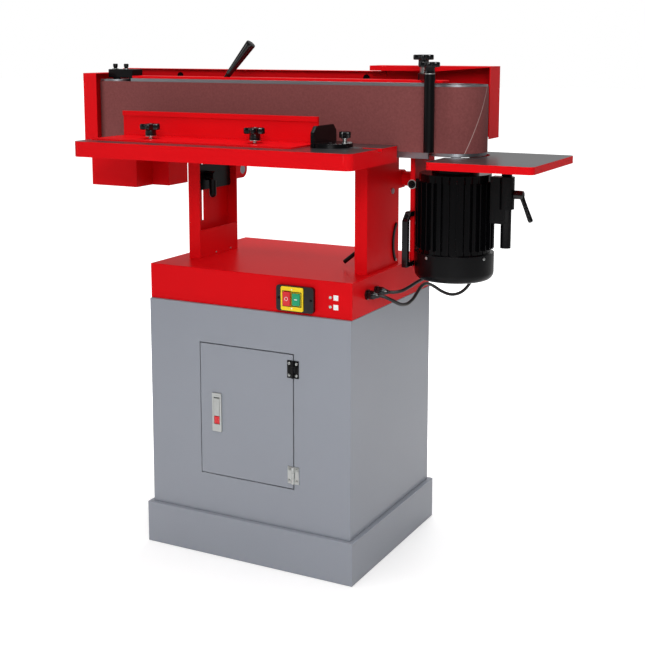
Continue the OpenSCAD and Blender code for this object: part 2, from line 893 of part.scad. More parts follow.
// Cast table: plate with a rim, a slot along it and threaded holes for the fence knobs
module table() color(red) {
  w = table_x[1] - table_x[0];
  plate_z = table_z[1] - table_t;
  difference() {
    translate([table_x[0], table_y[0], table_z[0]])
      linear_extrude(table_h)
        round_rect(w, table_d, table_corner_r);
    difference() {
      block([table_x[0] + table_rim, table_x[1] - table_rim],
            [table_y[0] + table_rim, table_y[1] - table_rim],
            [table_z[0] - cut, plate_z]);
      block(table_x, [slot_y - slot_w / 2 - slot_rib, slot_y + slot_w / 2 + slot_rib],
            [table_z[1] - slot_d - table_t / 2, plate_z + cut]);
    }
    block([table_x[0] - cut, table_x[1] + cut], [slot_y - slot_w / 2, slot_y + slot_w / 2],
          [table_z[1] - slot_d, table_z[1] + cut]);
    for (x = fence_knob_x)
      rod_z(x, fence_knob_y, knob_stud_r + run_gap, [plate_z - cut, table_z[1] + cut]);
  }
}

// Plate in a column, with a neck up to the table's underside; side is -1 for the left one
module table_bracket(side) {
  in = column_t + bracket_gap;
  x = side < 0 ? [column_x[0] + in, column_x[0] + in + bracket_t]
               : [column_x[1] - in - bracket_t, column_x[1] - in];
  front = column_y[0] + column_t + bracket_gap;
  back = column_y[1] - column_t - bracket_gap;
  difference() {
    union() {
      block(x, [front, back], [bracket_z0, bracket_z0 + bracket_h]);
      block(x, [front, table_y[1] - table_rim - slide_gap], [bracket_z0, table_z[1] - table_t]);
    }
    if (side < 0)
      rod_x(lock_y, lock_z, lock_r + run_gap, [x[0] - cut, x[1] + cut]);
  }
}

module left_table_bracket() color(black) table_bracket(-1);

module right_table_bracket() color(black) table_bracket(1);

// Clamping lever on the left bracket: its stud runs out through the column's slot to a nut
module table_lock_lever() color(black) {
  x0 = column_x[0];
  hub = [x0 + column_t + bracket_gap + bracket_t, x0 + column_t + bracket_gap + bracket_t + lock_hub];
  arm_x = hub[1] - lock_lever_r;
  rod_x(lock_y, lock_z, lock_r, [x0 - lock_side, hub[0]]);
  rod_x(lock_y, lock_z, lock_nut_r, [x0 - lock_side - lock_nut, x0 - lock_side]);
  rod_x(lock_y, lock_z, lock_hub_r, hub);
  rod_z(arm_x, lock_y, lock_lever_r, [lock_z - lock_lever_l, lock_z]);
  translate([arm_x, lock_y, lock_z - lock_lever_l])
    sphere(r = lock_lever_r);
}

// Screw in the right column that steadies the bracket: its end stands just off the plate
module table_guide_screw() color(steel) {
  x1 = column_x[1];
  rod_x(guide_y, guide_z, guide_r, [x1 - column_t - bracket_gap + lock_side, x1]);
  rod_x(guide_y, guide_z, guide_head_r, [x1, x1 + guide_head]);
}

module fence() color(red) {
  z = table_z[1];
  difference() {
    union() {
      block(fence_x, fence_y, [z, z + fence_t]);
      block(fence_x, [fence_y[1] - fence_t, fence_y[1]], [z, z + fence_h]);
      block(fence_x, [fence_y[1] - 2 * fence_t, fence_y[1]], [z + fence_h - fence_hem, z + fence_h]);
    }
    for (x = fence_knob_x) {
      block([x - fence_slot_w / 2, x + fence_slot_w / 2],
            [fence_knob_y - fence_slot / 2, fence_knob_y + fence_slot / 2], [z - cut, z + fence_t + cut]);
      for (s = [-1, 1])
        rod_z(x, fence_knob_y + s * fence_slot / 2, fence_slot_w / 2, [z - cut, z + fence_t + cut]);
    }
  }
}

// Knob held clear of the fence by a threaded collar
module fence_knob(x) {
  z = table_z[1] + fence_t + slide_gap;
  translate([x, fence_knob_y, z + fence_knob_lift])
    star_knob(fence_knob_lift + fence_t + slide_gap + table_t, fence_knob_share);
  rod_z(x, fence_knob_y, fence_collar_r, [z, z + fence_knob_lift + knob_washer / 2]);
}

module left_fence_knob() color(black) fence_knob(fence_knob_x[0]);

module right_fence_knob() color(black) fence_knob(fence_knob_x[1]);

// Bar that runs in the table's slot, with the pin that the gauge turns on
module mitre_bar() color(steel) {
  z = table_z[1];
  half = slot_w / 2 - mitre_bar_gap;
  block([mitre_x, mitre_x + mitre_bar_l], [slot_y - half, slot_y + half],
        [z - slot_d + mitre_bar_gap, z]);
  rod_z(mitre_x + mitre_pivot, slot_y, mitre_pin_r, [z - slot_d / 2, z + mitre_t]);
}

// Half-round body with an upright face on its left, the face's top corners cut off
module mitre_head() color(black) {
  z = table_z[1] + mitre_bar_gap;
  c = [mitre_x + mitre_pivot, slot_y];
  back = c[0] - mitre_pivot + mitre_face_t;
  w = mitre_face_w;
  h = mitre_face_h;
  k = mitre_face_cut;
  difference() {
    union() {
      intersection() {
        rod_z(c[0], c[1], mitre_r, [z, z + mitre_t]);
        block([back, c[0] + mitre_r], [c[1] - mitre_r, c[1] + mitre_r], [z, z + mitre_t]);
      }
      translate([back - mitre_face_t, c[1] - mitre_face_back, z])
        rotate([90, 0, 90])
          linear_extrude(mitre_face_t)
            polygon([[0, 0], [w, 0], [w, h - k], [w - k, h], [k, h], [0, h - k]]);
    }
    rod_z(c[0], c[1], mitre_pin_r + run_gap, [z - cut, z + mitre_t + cut]);
    rod_z(c[0] + mitre_r * mitre_knob_share, c[1], knob_stud_r + run_gap, [z - cut, z + mitre_t + cut]);
  }
}

module mitre_knob() color(black)
  translate([mitre_x + mitre_pivot + mitre_r * mitre_knob_share, slot_y,
             table_z[1] + mitre_bar_gap + mitre_t])
    star_knob(mitre_t - mitre_bar_gap, mitre_knob_share);

// Shelf under the belt that ties the beam, the guards and the motor plate together
module head_base() color(red)
  block([yoke_x[1] + base_gap, plate_x[1]], [beam_y[0], guard_y], base_z);

// Tubes round the two tilt shafts, outside the columns, with ribs up to the shelf
module pivot_tube() color(red) {
  left = [column_x[0] - slide_gap - pivot_stub, column_x[0] - slide_gap];
  right = [column_x[1] + slide_gap, plate_x[0]];
  difference() {
    union() {
      rod_x(pivot_y, pivot_z, pivot_tube_r, left);
      rod_x(pivot_y, pivot_z, pivot_tube_r, right);
      for (x = [left[0], left[1] - plate_t])
        block([x, x + plate_t], [pivot_y - pivot_tube_r, guard_y], [pivot_z, base_z[0]]);
      block([right[1] - plate_t, right[1]], [pivot_y - pivot_tube_r, guard_y], [pivot_z, base_z[0]]);
    }
    rod_x(pivot_y, pivot_z, pivot_r + run_gap, [left[0] - cut, right[1] + cut]);
  }
}

// Hollow beam between the drums with its top plate, which the tension lever passes through
module platen_beam() color(red) {
  bar = yoke_bar / 2 + slide_gap;
  top = beam_z[1] + beam_plate_t;
  difference() {
    union() {
      block(beam_x, beam_y, beam_z);
      block(top_plate_x, beam_y, [beam_z[1], top]);
    }
    block([beam_x[0] + beam_t, beam_x[1] - beam_t], [beam_y[0] + beam_t, beam_y[1] - beam_t],
          [beam_z[0] - cut, beam_z[1] - beam_t]);
    block([beam_x[0] - cut, beam_x[0] + beam_t + cut], [lever_y - bar, lever_y + bar],
          [yoke_bar_z - bar, yoke_bar_z + bar]);
    block([lever_x - lever_slot, lever_x + lever_slot],
          [lever_y - lever_slot_w / 2, lever_y + lever_slot_w / 2],
          [beam_z[1] - beam_t - cut, top + cut]);
    rod_z(stop_pivot[0], stop_pivot[1], knob_stud_r, [beam_z[1] - cut, top + cut]);
    rod_y(lever_x, lever_z, lever_rod_r + run_gap, [beam_y[0] - cut, beam_y[1] + cut]);
  }
}

module platen() color(dark_steel)
  block(platen_x, platen_y, [base_z[0], beam_z[1]]);

module sanding_belt() color("#6d3a3c")
  translate([0, 0, belt_z[0]])
    linear_extrude(belt_w)
      difference() {
        loop_area(0);
        loop_area(belt_t);
      }

// Sheet behind the belt with a lip along its top
module back_guard() color(red) {
  block(guard_x, [guard_y, guard_y + guard_t], [base_z[0], guard_top]);
  block(guard_x, [guard_y - guard_lip, guard_y + guard_t], [guard_top - guard_t, guard_top]);
}

// Cover round the idler: side, back, top and a front flange
module left_cover() color(red) {
  x = [left_cover_x, left_cover_x + guard_t];
  z = [base_z[0], left_cover_top];
  block(x, [left_cover_y, guard_y], z);
  block([x[0], x[0] + left_cover_flange], [left_cover_y, left_cover_y + guard_t], z);
  block([x[0], yoke_x[0] - tension_travel], [left_cover_y, guard_y], [z[1] - guard_t, z[1]]);
}

// Hood round the drive drum: side, back, and a top with a front lip that runs out towards the side
module right_cover() color(red) {
  x = [right_cover_start - guard_lip, right_cover_x];
  y = [right_cover_y, guard_y + 2 * guard_t];
  z = [right_cover_bottom, right_cover_top];
  block([x[1] - guard_t, x[1]], y, z);
  block(x, [y[1] - guard_t, y[1]], z);
  block(x, y, [z[1] - guard_t, z[1]]);
  translate([0, y[0] + guard_t, 0])
    rotate([90, 0, 0])
      linear_extrude(guard_t)
        polygon([[x[0], z[1] - right_cover_lip], [drive_x - right_cover_taper, z[1] - right_cover_lip],
                 [x[1], z[1] - guard_t], [x[1], z[1]], [x[0], z[1]]]);
}

// Stepped box of the chute, set in by a wall and open upwards by the same amount
module chute_box(t) {
  z = [chute_z[0] + t, chute_z[1] + t];
  block([chute_x[0] + t, chute_x[1] - t], [chute_y[0] + t, chute_y[2] - t], z);
  block([chute_x[0] + t, chute_x[2] - t], [chute_y[1] + t, chute_y[2] - t], z);
}

// Box under the idler with a stepped front, open at the top, and the hose outlet behind
module dust_chute() color(red) {
  c = [(chute_x[0] + chute_x[2]) / 2, (chute_z[0] + chute_z[1]) / 2];
  difference() {
    union() {
      chute_box(0);
      rod_y(c[0], c[1], port_r, [chute_y[2] - cut, chute_y[2] + port_len]);
    }
    chute_box(chute_t);
    rod_y(c[0], c[1], port_r - port_wall, [chute_y[2] - chute_t - cut, chute_y[2] + port_len + cut]);
  }
}

// Plate that hangs from the shelf and carries the motor, folded at its front edge
module motor_plate() color(red)
  difference() {
    union() {
      block(plate_x, plate_y, plate_z);
      block([plate_x[0], plate_x[0] + plate_flange], [plate_y[0], plate_y[0] + plate_flange_t], plate_z);
    }
    for (z = foot_zs)
      rod_x(drive[1], z, foot_bolt_r, [plate_x[0] - cut, plate_x[1] + cut]);
  }

// Heights of the motor's two feet
foot_zs = [housing_z[0] + 2 * foot_h, housing_z[1] - foot_h];

// Outline of the pull handle seen from its side, set in from its outer face
module handle_outline(inset, back) {
  y = plate_y[0] - handle_reach;
  z = [handle_z[0] + inset, handle_z[1] - inset];
  polygon([[back, z[0]], [y + inset, z[0]], [y + inset, handle_z[1] - handle_bevel],
           [y + handle_bevel, z[1]], [back, z[1]]]);
}

// Flat bar bent to a bow before the motor plate, its upper corner cut off
module tilt_handle() color(black)
  translate([handle_x, 0, 0])
    rotate([90, 0, 90])
      linear_extrude(handle_w)
        difference() {
          handle_outline(0, plate_y[0]);
          handle_outline(handle_t, plate_y[0] + cut);
        }

// Finned body with feet towards the plate, hollow for the rotor
module motor_housing() color(black)
  difference() {
    union() {
      translate([drive[0], drive[1], 0])
        rotate_extrude()
          polygon([[0, housing_z[0]], [spigot_r, housing_z[0]], [spigot_r, motor_z[0] + fan_cover_h],
                   [motor_core_r, motor_z[0] + fan_cover_h], [motor_core_r, housing_z[1]],
                   [end_bell_r, housing_z[1]], [end_bell_r, bell_top], [0, bell_top]]);
      for (i = [0 : fin_count - 1])
        translate([drive[0], drive[1], housing_z[0] + motor_bell])
          rotate((i + 0.5) * 360 / fin_count)
            translate([motor_core_r - fin_t, -fin_t / 2, 0])
              cube([motor_r - motor_core_r + fin_t, fin_t, housing_z[1] - housing_z[0] - 2 * motor_bell]);
      for (z = foot_zs) {
        block([plate_x[1], plate_x[1] + foot_reach], [drive[1] - foot_w / 2, drive[1] + foot_w / 2],
              [z - foot_h / 2, z + foot_h / 2]);
        rod_x(drive[1], z, foot_bolt_r - run_gap, [plate_x[0] - foot_bolt_end, plate_x[1] + foot_bolt_r]);
      }
    }
    rod_z(drive[0], drive[1], motor_bore_r, [housing_z[0] + motor_bell, housing_z[1] - motor_bell]);
    rod_z(drive[0], drive[1], shaft_r + rotor_gap, [housing_z[0] - cut, bell_top + cut]);
    for (z = [housing_z[0] + motor_bell - motor_bearing_h, housing_z[1] - motor_bell])
      rod_z(drive[0], drive[1], motor_bearing_r, [z - run_gap, z + motor_bearing_h + run_gap]);
  }

module motor_bearings() color(steel)
  for (z = [housing_z[0] + motor_bell - motor_bearing_h, housing_z[1] - motor_bell])
    difference() {
      rod_z(drive[0], drive[1], motor_bearing_r, [z, z + motor_bearing_h]);
      rod_z(drive[0], drive[1], shaft_r + run_gap, [z - cut, z + motor_bearing_h + cut]);
    }

// Outline of the cup under the motor: its round lower edge is an arc
function cup_points(r, z, fillet) = concat(
  [[0, z[0]]],
  [for (a = [-90 : 15 : 0]) [r - fillet + fillet * cos(a), z[0] + fillet + fillet * sin(a)]],
  [[r, z[1]], [0, z[1]]]);

module fan_cover() color(black) {
  z = [motor_z[0], motor_z[0] + fan_cover_h];
  r = motor_r + fan_cover_over;
  t = fan_cover_t;
  translate([drive[0], drive[1], 0])
    difference() {
      rotate_extrude($fn = 96)
        polygon(cup_points(r, z, fan_cover_round));
      rotate_extrude($fn = 96)
        polygon(cup_points(r - t, [z[0] + t, z[1] + cut], fan_cover_round - t));
      for (i = [0 : fan_slots - 1])
        rotate(i * 360 / fan_slots)
          translate([fan_hub_r, -fan_slot_w / 2, z[0] - cut])
            cube([fan_slot_l, fan_slot_w, t + 2 * cut]);
    }
}

module terminal_box() color(black) {
  y = [drive[1] + motor_core_r, drive[1] + motor_core_r + terminal_back];
  difference() {
    block(terminal_x, [drive[1], y[1]], terminal_z);
    rod_z(drive[0], drive[1], motor_r + slide_gap, [terminal_z[0] - cut, terminal_z[1] + cut]);
  }
}

module drive_drum() color(steel) {
  r = drive_r - belt_t - drum_gap;
  difference() {
    rod_z(drive[0], drive[1], r, drum_z);
    for (z = [[drum_z[0] - cut, drum_z[0] + drum_recess], [drum_z[1] - drum_recess, drum_z[1] + cut]])
      difference() {
        rod_z(drive[0], drive[1], r - drum_wall, z);
        rod_z(drive[0], drive[1], shaft_r + drum_wall, z);
      }
    rod_z(drive[0], drive[1], shaft_r, [drum_z[0] - cut, drum_z[1] + cut]);
  }
}

module motor_shaft() color(steel) {
  rod_z(drive[0], drive[1], shaft_r, [fan_z[0], drum_z[1]]);
  rod_z(drive[0], drive[1], motor_bore_r - rotor_gap,
        [housing_z[0] + motor_bell + rotor_end, housing_z[1] - motor_bell - rotor_end]);
}

module cooling_fan() color(black)
  difference() {
    union() {
      rod_z(drive[0], drive[1], fan_hub_r, fan_z);
      rod_z(drive[0], drive[1], fan_r, [fan_z[1] - fan_t, fan_z[1]]);
      for (i = [0 : fan_blades - 1])
        translate([drive[0], drive[1], fan_z[0]])
          rotate(i * 360 / fan_blades)
            translate([fan_hub_r - fan_t, -fan_t / 2, 0])
              cube([fan_r - fan_hub_r, fan_t, fan_z[1] - fan_z[0]]);
    }
    rod_z(drive[0], drive[1], shaft_r, [fan_z[0] - cut, fan_z[1] + cut]);
  }

// Yoke round the idler drum with its fixed shaft, the sliding bar and the tracking screws
module idler_yoke() color(black) {
  web = [yoke_x[1] - yoke_web_t, yoke_x[1]];
  block(yoke_x, yoke_y, yoke_top);
  block(yoke_x, yoke_y, yoke_low);
  block(web, yoke_y, [yoke_low[0], yoke_top[1]]);
  rod_z(idler[0], idler[1], idler_shaft_r, [yoke_low[0], yoke_top[1]]);
  block([web[0], web[1] + yoke_bar_len], [lever_y - yoke_bar / 2, lever_y + yoke_bar / 2],
        [yoke_bar_z - yoke_bar / 2, yoke_bar_z + yoke_bar / 2]);
  for (x = track_screw_in)
    rod_z(yoke_x[0] + x, idler[1], track_screw_r, [yoke_top[1] - cut, yoke_top[1] + track_screw_h]);
}

module idler_drum() color(steel)
  difference() {
    rod_z(idler[0], idler[1], idler_r - belt_t - drum_gap, drum_z);
    rod_z(idler[0], idler[1], idler_bearing_r, [drum_z[0] - cut, drum_z[1] + cut]);
  }

module idler_bearings() color(steel)
  for (z = [drum_z[0], drum_z[1] - idler_bearing_h])
    difference() {
      rod_z(idler[0], idler[1], idler_bearing_r, [z, z + idler_bearing_h]);
      rod_z(idler[0], idler[1], idler_shaft_r + run_gap, [z - cut, z + idler_bearing_h + cut]);
    }

// Lever on a cross pin in the beam, leaning to the right, with a thick grip
module tension_lever() color(black) {
  rod_y(lever_x, lever_z, lever_hub_r, [lever_y - lever_hub_w / 2, lever_y + lever_hub_w / 2]);
  rod_y(lever_x, lever_z, lever_rod_r, [beam_y[0] + slide_gap, beam_y[1] - slide_gap]);
  translate([lever_x, lever_y, lever_z])
    rotate([0, lever_tilt, 0]) {
      cylinder(r = lever_rod_r, h = lever_rod);
      translate([0, 0, lever_rod])
        cylinder(r1 = lever_grip_root_r, r2 = lever_grip_r, h = lever_grip);
    }
}

// Outline of the arm between the two knobs
module stop_arm() {
  reach = stop_post - stop_pivot;
  for (p = [stop_post, stop_pivot])
    translate(p)
      circle(r = stop_arm_w / 2);
  translate(stop_pivot)
    rotate(atan2(reach[1], reach[0]))
      translate([0, -stop_bar_w / 2])
        square([norm(reach), stop_bar_w]);
}

// Upright bar before the belt, hung from an arm that swings on a knob, with a collar under that knob
module work_stop() color(black) {
  collar_z = [stop_arm_z, stop_arm_z + stop_arm_t + stop_collar];
  difference() {
    union() {
      translate([0, 0, stop_arm_z])
        linear_extrude(stop_arm_t)
          stop_arm();
      rod_z(stop_pivot[0], stop_pivot[1], stop_collar_r, collar_z);
    }
    for (p = [stop_post, stop_pivot])
      rod_z(p[0], p[1], knob_stud_r + run_gap, [collar_z[0] - cut, collar_z[1] + cut]);
  }
  rod_z(stop_post[0], stop_post[1], stop_post_r, [belt_z[0] + stop_drop, stop_arm_z]);
}

// Knob through the arm's collar into the beam, which the arm swings on, and knob over the bar
module stop_pivot_knob() color(black)
  translate([stop_pivot[0], stop_pivot[1], stop_arm_z + stop_arm_t + stop_collar + slide_gap])
    star_knob(stop_arm_t + stop_collar + 2 * slide_gap + beam_plate_t, 1);

module stop_post_knob() color(black)
  translate([stop_post[0], stop_post[1], stop_arm_z + stop_arm_t])
    star_knob(stop_arm_t, 1);

// Plate with a round notch for the drum, and the post under it
module end_table() color(red) {
  difference() {
    translate([end_x[0], end_y[0], end_z[0]])
      linear_extrude(end_t)
        round_rect(end_w, end_d, end_corner_r);
    rod_z(drive[0], drive[1], end_notch_r, [end_z[0] - cut, end_z[1] + cut]);
  }
  rod_z(post_x, post_y, post_r, [post_z0, end_z[0]]);
  rod_z(post_x, post_y, post_plate_r, [end_z[0] - post_plate, end_z[0]]);
}

// Sleeve for the post on an arm from the motor's side
module end_table_bracket() color(black)
  difference() {
    union() {
      rod_z(post_x, post_y, sleeve_r, sleeve_z);
      block([drive[0], post_x], [post_y - arm_w / 2, post_y + arm_w / 2], arm_z);
    }
    rod_z(post_x, post_y, post_r + run_gap, [arm_z[0] - cut, sleeve_z[1] + cut]);
    rod_z(drive[0], drive[1], motor_r + slide_gap, [arm_z[0] - cut, arm_z[1] + cut]);
    rod_x(post_y, clamp_z, knob_stud_r + run_gap, [post_x, post_x + sleeve_r + cut]);
  }

module end_clamp_lever() color(black) {
  x = post_x + sleeve_r + slide_gap;
  rod_x(post_y, clamp_z, knob_stud_r, [post_x + post_r + slide_gap, x]);
  rod_x(post_y, clamp_z, clamp_hub_r, [x, x + clamp_hub]);
  translate([x + clamp_hub - clamp_arm_r, post_y, clamp_z])
    rotate([0, 180 - clamp_tilt, 0])
      cylinder(r = clamp_arm_r, h = clamp_arm);
}

plinth();
cabinet();
door();
door_hinge_frame_leaves();
door_hinge_door_leaves();
latch_housing();
latch_lever();
latch_button();
base_cap();
switch_box();
switch_plate();
stop_button();
start_button();
pilot_lights();
cable_glands();
motor_cable();
control_cable();
left_column();
right_column();
pivot_shaft();
tilt_lock_lever();
table();
left_table_bracket();
right_table_bracket();
table_lock_lever();
table_guide_screw();
fence();
left_fence_knob();
right_fence_knob();
mitre_bar();
mitre_head();
mitre_knob();
head_base();
pivot_tube();
platen_beam();
platen();
sanding_belt();
back_guard();
left_cover();
right_cover();
dust_chute();
motor_plate();
tilt_handle();
motor_housing();
fan_cover();
terminal_box();
motor_bearings();
drive_drum();
motor_shaft();
cooling_fan();
idler_yoke();
idler_drum();
idler_bearings();
tension_lever();
work_stop();
stop_pivot_knob();
stop_post_knob();
end_table();
end_table_bracket();
end_clamp_lever();
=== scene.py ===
# %% [markdown]
# An edge sander is a workshop machine: an upright sanding belt runs between a motor drum and an idler
# drum, on a head that tilts back over a steel cabinet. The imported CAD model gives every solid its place
# and its motion, and this lesson dresses it: rounded edges, real fasteners, moulded knobs and finishes.

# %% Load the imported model
import json
import math

import bmesh
import bpy
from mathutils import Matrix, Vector


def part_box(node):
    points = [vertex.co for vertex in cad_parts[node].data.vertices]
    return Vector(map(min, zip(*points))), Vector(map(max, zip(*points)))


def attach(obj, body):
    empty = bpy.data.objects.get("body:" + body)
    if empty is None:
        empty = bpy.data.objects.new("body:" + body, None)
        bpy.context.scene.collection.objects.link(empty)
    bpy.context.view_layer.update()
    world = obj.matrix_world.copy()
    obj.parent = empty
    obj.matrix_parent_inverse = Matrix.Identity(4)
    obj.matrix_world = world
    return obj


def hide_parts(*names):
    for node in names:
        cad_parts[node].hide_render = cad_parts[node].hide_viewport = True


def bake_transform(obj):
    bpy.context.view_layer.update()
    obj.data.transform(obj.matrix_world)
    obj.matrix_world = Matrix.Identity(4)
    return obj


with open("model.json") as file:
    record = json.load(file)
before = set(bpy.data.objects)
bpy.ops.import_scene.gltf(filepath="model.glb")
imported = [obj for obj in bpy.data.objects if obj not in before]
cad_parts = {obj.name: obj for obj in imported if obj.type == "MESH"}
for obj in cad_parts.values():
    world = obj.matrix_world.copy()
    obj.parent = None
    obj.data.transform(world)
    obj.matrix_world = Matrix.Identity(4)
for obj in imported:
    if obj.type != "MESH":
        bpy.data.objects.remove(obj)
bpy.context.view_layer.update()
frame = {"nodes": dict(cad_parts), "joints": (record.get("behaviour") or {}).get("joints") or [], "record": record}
scene = bpy.context.scene
scene.view_settings.view_transform = "Standard"

# %% [markdown]
# The photograph was taken from the front right, a little above the tables. The camera's place, turn and
# focal length were fitted to corners that the photograph shows, and a small lens shift brings the
# uprights closer to parallel, as a product photographer's shift lens does.

# %% Camera
camera_place = (1.4362, -2.5777, 1.2437)
look_down, look_left = math.radians(8.678), math.radians(27.696)
camera = bpy.data.objects.new("photo_camera", bpy.data.cameras.new("photo_camera"))
scene.collection.objects.link(camera)
camera.location = camera_place
camera.rotation_euler = (math.radians(90) - look_down, 0, look_left)
camera.data.sensor_width = 36
camera.data.lens = 66.54
camera.data.shift_y = -0.15
scene.camera = camera
print("camera", [round(x, 2) for x in camera.location], "lens", camera.data.lens)

# %% [markdown]
# Almost every added piece is a skin between rings of points: a cable, a knob, a screw head and a lever
# differ only in the shape of their rings. Blender's ready cylinders and curves could give some of them,
# but one way for all is shorter to learn and leaves clean quads. One function skins the rings, and
# another makes the result an object that rides on a CAD body, so that it moves with the machine. Smooth
# shading that breaks at sharp edges keeps round parts round and corners crisp.

# %% Skin rings and make pieces
crease = math.radians(35)
weld_gap = 1e-6


def metres(points):
    """Points in millimetres, as CAD writes them, to metres."""
    return [Vector(p) / 1000 for p in points]


def loft(rings, closed=False):
    """Mesh through rings that have the same number of points, capped unless it closes on itself."""
    made = bmesh.new()
    rows = [[made.verts.new(p) for p in ring] for ring in rings]
    for near, far in zip(rows, rows[1:] + rows[:1] if closed else rows[1:]):
        for i in range(len(near)):
            j = (i + 1) % len(near)
            made.faces.new((near[i], near[j], far[j], far[i]))
    if not closed:
        made.faces.new(rows[0][::-1])
        made.faces.new(rows[-1])
    bmesh.ops.remove_doubles(made, verts=made.verts, dist=weld_gap)
    bmesh.ops.recalc_face_normals(made, faces=made.faces)
    return made


def piece(name, made, finishes, body, stands_for=None):
    """Object from a mesh, with one finish or several, riding on a body."""
    finishes = finishes if isinstance(finishes, list) else [finishes]
    mesh = bpy.data.meshes.new(name)
    made.to_mesh(mesh)
    made.free()
    mesh.polygons.foreach_set("use_smooth", [True] * len(mesh.polygons))
    mesh.set_sharp_from_angle(angle=crease)
    for material in finishes:
        mesh.materials.append(material)
    obj = bpy.data.objects.new(name, mesh)
    scene.collection.objects.link(obj)
    if body:
        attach(obj, body)
    if stands_for:
        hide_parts(stands_for)
    print(name, len(mesh.polygons), "faces on", body or "two bodies")
    return obj


# %% [markdown]
# A finish here starts from what the real surface is: a paint, a plastic or a metal, each with a typical
# roughness and index of refraction. All of them vary a little over a hand's width and have a fine grain
# that bends the light, so one function lays down both from sizes in millimetres. Colours are written as
# the hex values that a colour picker shows, and are turned to linear light once.

# %% Colours, nodes and finishes
mix_share, mix_first, mix_second, mix_result = 0, 6, 7, 2


def linear(hex_colour):
    """sRGB hex to the linear colour that shaders use."""
    parts = [int(hex_colour[i:i + 2], 16) / 255 for i in (1, 3, 5)]
    return [c / 12.92 if c <= 0.04045 else ((c + 0.055) / 1.055) ** 2.4 for c in parts] + [1]


def add(tree, kind, inputs=None, **settings):
    """One shader node with its settings, and its inputs as values or as links."""
    made = tree.nodes.new("ShaderNode" + kind)
    for name, value in settings.items():
        setattr(made, name, value)
    for socket, value in (inputs or {}).items():
        if isinstance(value, bpy.types.NodeSocket):
            tree.links.new(value, made.inputs[socket])
        else:
            made.inputs[socket].default_value = value
    return made


def make_finish(slot, name, colour, second, patch, grain, relief, stretch=(1, 1, 1), **sockets):
    """Finish with two close colours in patches and a bumped grain, both sizes in mm."""
    material = bpy.data.materials.new(name)
    material.use_nodes = True
    tree = material.node_tree
    shader = tree.nodes["Principled BSDF"]
    for socket, value in sockets.items():
        shader.inputs[socket.replace("_", " ")].default_value = value
    where = add(tree, "TexCoord").outputs["Object"]
    cloud = add(tree, "TexNoise", {"Vector": where, "Scale": 1000 / patch, "Detail": 3})
    tint = add(tree, "Mix", {mix_share: cloud.outputs["Fac"], mix_first: linear(colour),
                             mix_second: linear(second)}, data_type="RGBA")
    tree.links.new(tint.outputs[mix_result], shader.inputs["Base Color"])
    along = add(tree, "Mapping", {"Vector": where, "Scale": stretch})
    fine = add(tree, "TexNoise", {"Vector": along.outputs[0], "Scale": 1000 / grain, "Detail": 2})
    bump = add(tree, "Bump", {"Strength": relief, "Distance": grain / 4000,
                              "Height": fine.outputs["Fac"]})
    tree.links.new(bump.outputs[0], shader.inputs["Normal"])
    return material


# PVC sheath, extruded: dull black with a soft line of light along it
sheath = make_finish("cable_sheath", "PVC sheath", "#141415", "#1b1b1c", patch=30, grain=1.5, relief=0.1,
                     Roughness=0.42, IOR=1.53)
print("finish", sheath.name)

# %% [markdown]
# Two black cables run from glands on the cap to the motor's terminal box. They repeat the routes of the
# CAD source, eased by a curve through its points. The head tilts and the cap doesn't; each cable here is
# fixed in place and rides on neither.

# %% Cables
motor_route = [[289, -100, 673], [314, -100, 673], [334, -88, 675], [344, -60, 681], [346, -30, 685],
               [347, 0, 687], [348, 30, 687], [350, 60, 687], [353, 90, 690], [358, 112, 702],
               [366, 126, 724], [374, 132, 752], [378, 132, 780], [378, 132, 800]]
control_route = [[289, -148, 673], [314, -148, 673], [333, -135, 663], [342, -108, 649],
                 [346, -78, 644], [347, -46, 649], [345, -16, 659], [342, 16, 668], [342, 48, 670],
                 [348, 76, 660], [362, 94, 645], [382, 102, 637], [404, 106, 641], [422, 110, 656],
                 [434, 116, 678], [442, 124, 706], [446, 130, 736], [448, 132, 768], [448, 132, 800]]
cable_d = 8
eased_steps = 3


def eased_route(points):
    """Points on a smooth curve through the points."""
    ends = [points[0] * 2 - points[1], *points, points[-1] * 2 - points[-2]]
    route = []
    for a, b, c, d in zip(ends, ends[1:], ends[2:], ends[3:]):
        for t in (i / eased_steps for i in range(eased_steps)):
            route.append((2 * b + (c - a) * t + (2 * a - 5 * b + 4 * c - d) * t * t
                          + (3 * b - a - 3 * c + d) * t ** 3) / 2)
    return route + [points[-1]]


def circle(radius, sides=16):
    """Points round a circle, in millimetres."""
    turns = [2 * math.pi * i / sides for i in range(sides)]
    return [(radius * math.cos(t), radius * math.sin(t)) for t in turns]


def sweep(points, outline, side):
    """Mesh of an outline in mm carried along points in metres, its first axis held near side."""
    rings, side = [], Vector(side)
    for i, p in enumerate(points):
        ahead = (points[min(i + 1, len(points) - 1)] - points[max(i - 1, 0)]).normalized()
        side = (side - ahead * side.dot(ahead)).normalized()
        over = ahead.cross(side)
        rings.append([p + (side * u + over * v) / 1000 for u, v in outline])
    return loft(rings)


for name, route in (("motor_cable", motor_route), ("control_cable", control_route)):
    path = eased_route(metres(route))
    cable = piece(name + "_sheath", sweep(path, circle(cable_d / 2), (0, 0, 1)), sheath, None, name)
    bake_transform(cable)

# %% [markdown]
# A fitting belongs where the CAD model puts what carries it. So the corners of every node's box and the
# places of the joints are read once, in the millimetres of a drawing, and the cells below start from
# them where they can. A fitting then sits on its part's own face, seen from any side.

# %% Places from the frame
def millimetres(point):
    """Point in metres to millimetres, to a thousandth."""
    return Vector([round(1000 * v, 3) for v in point])


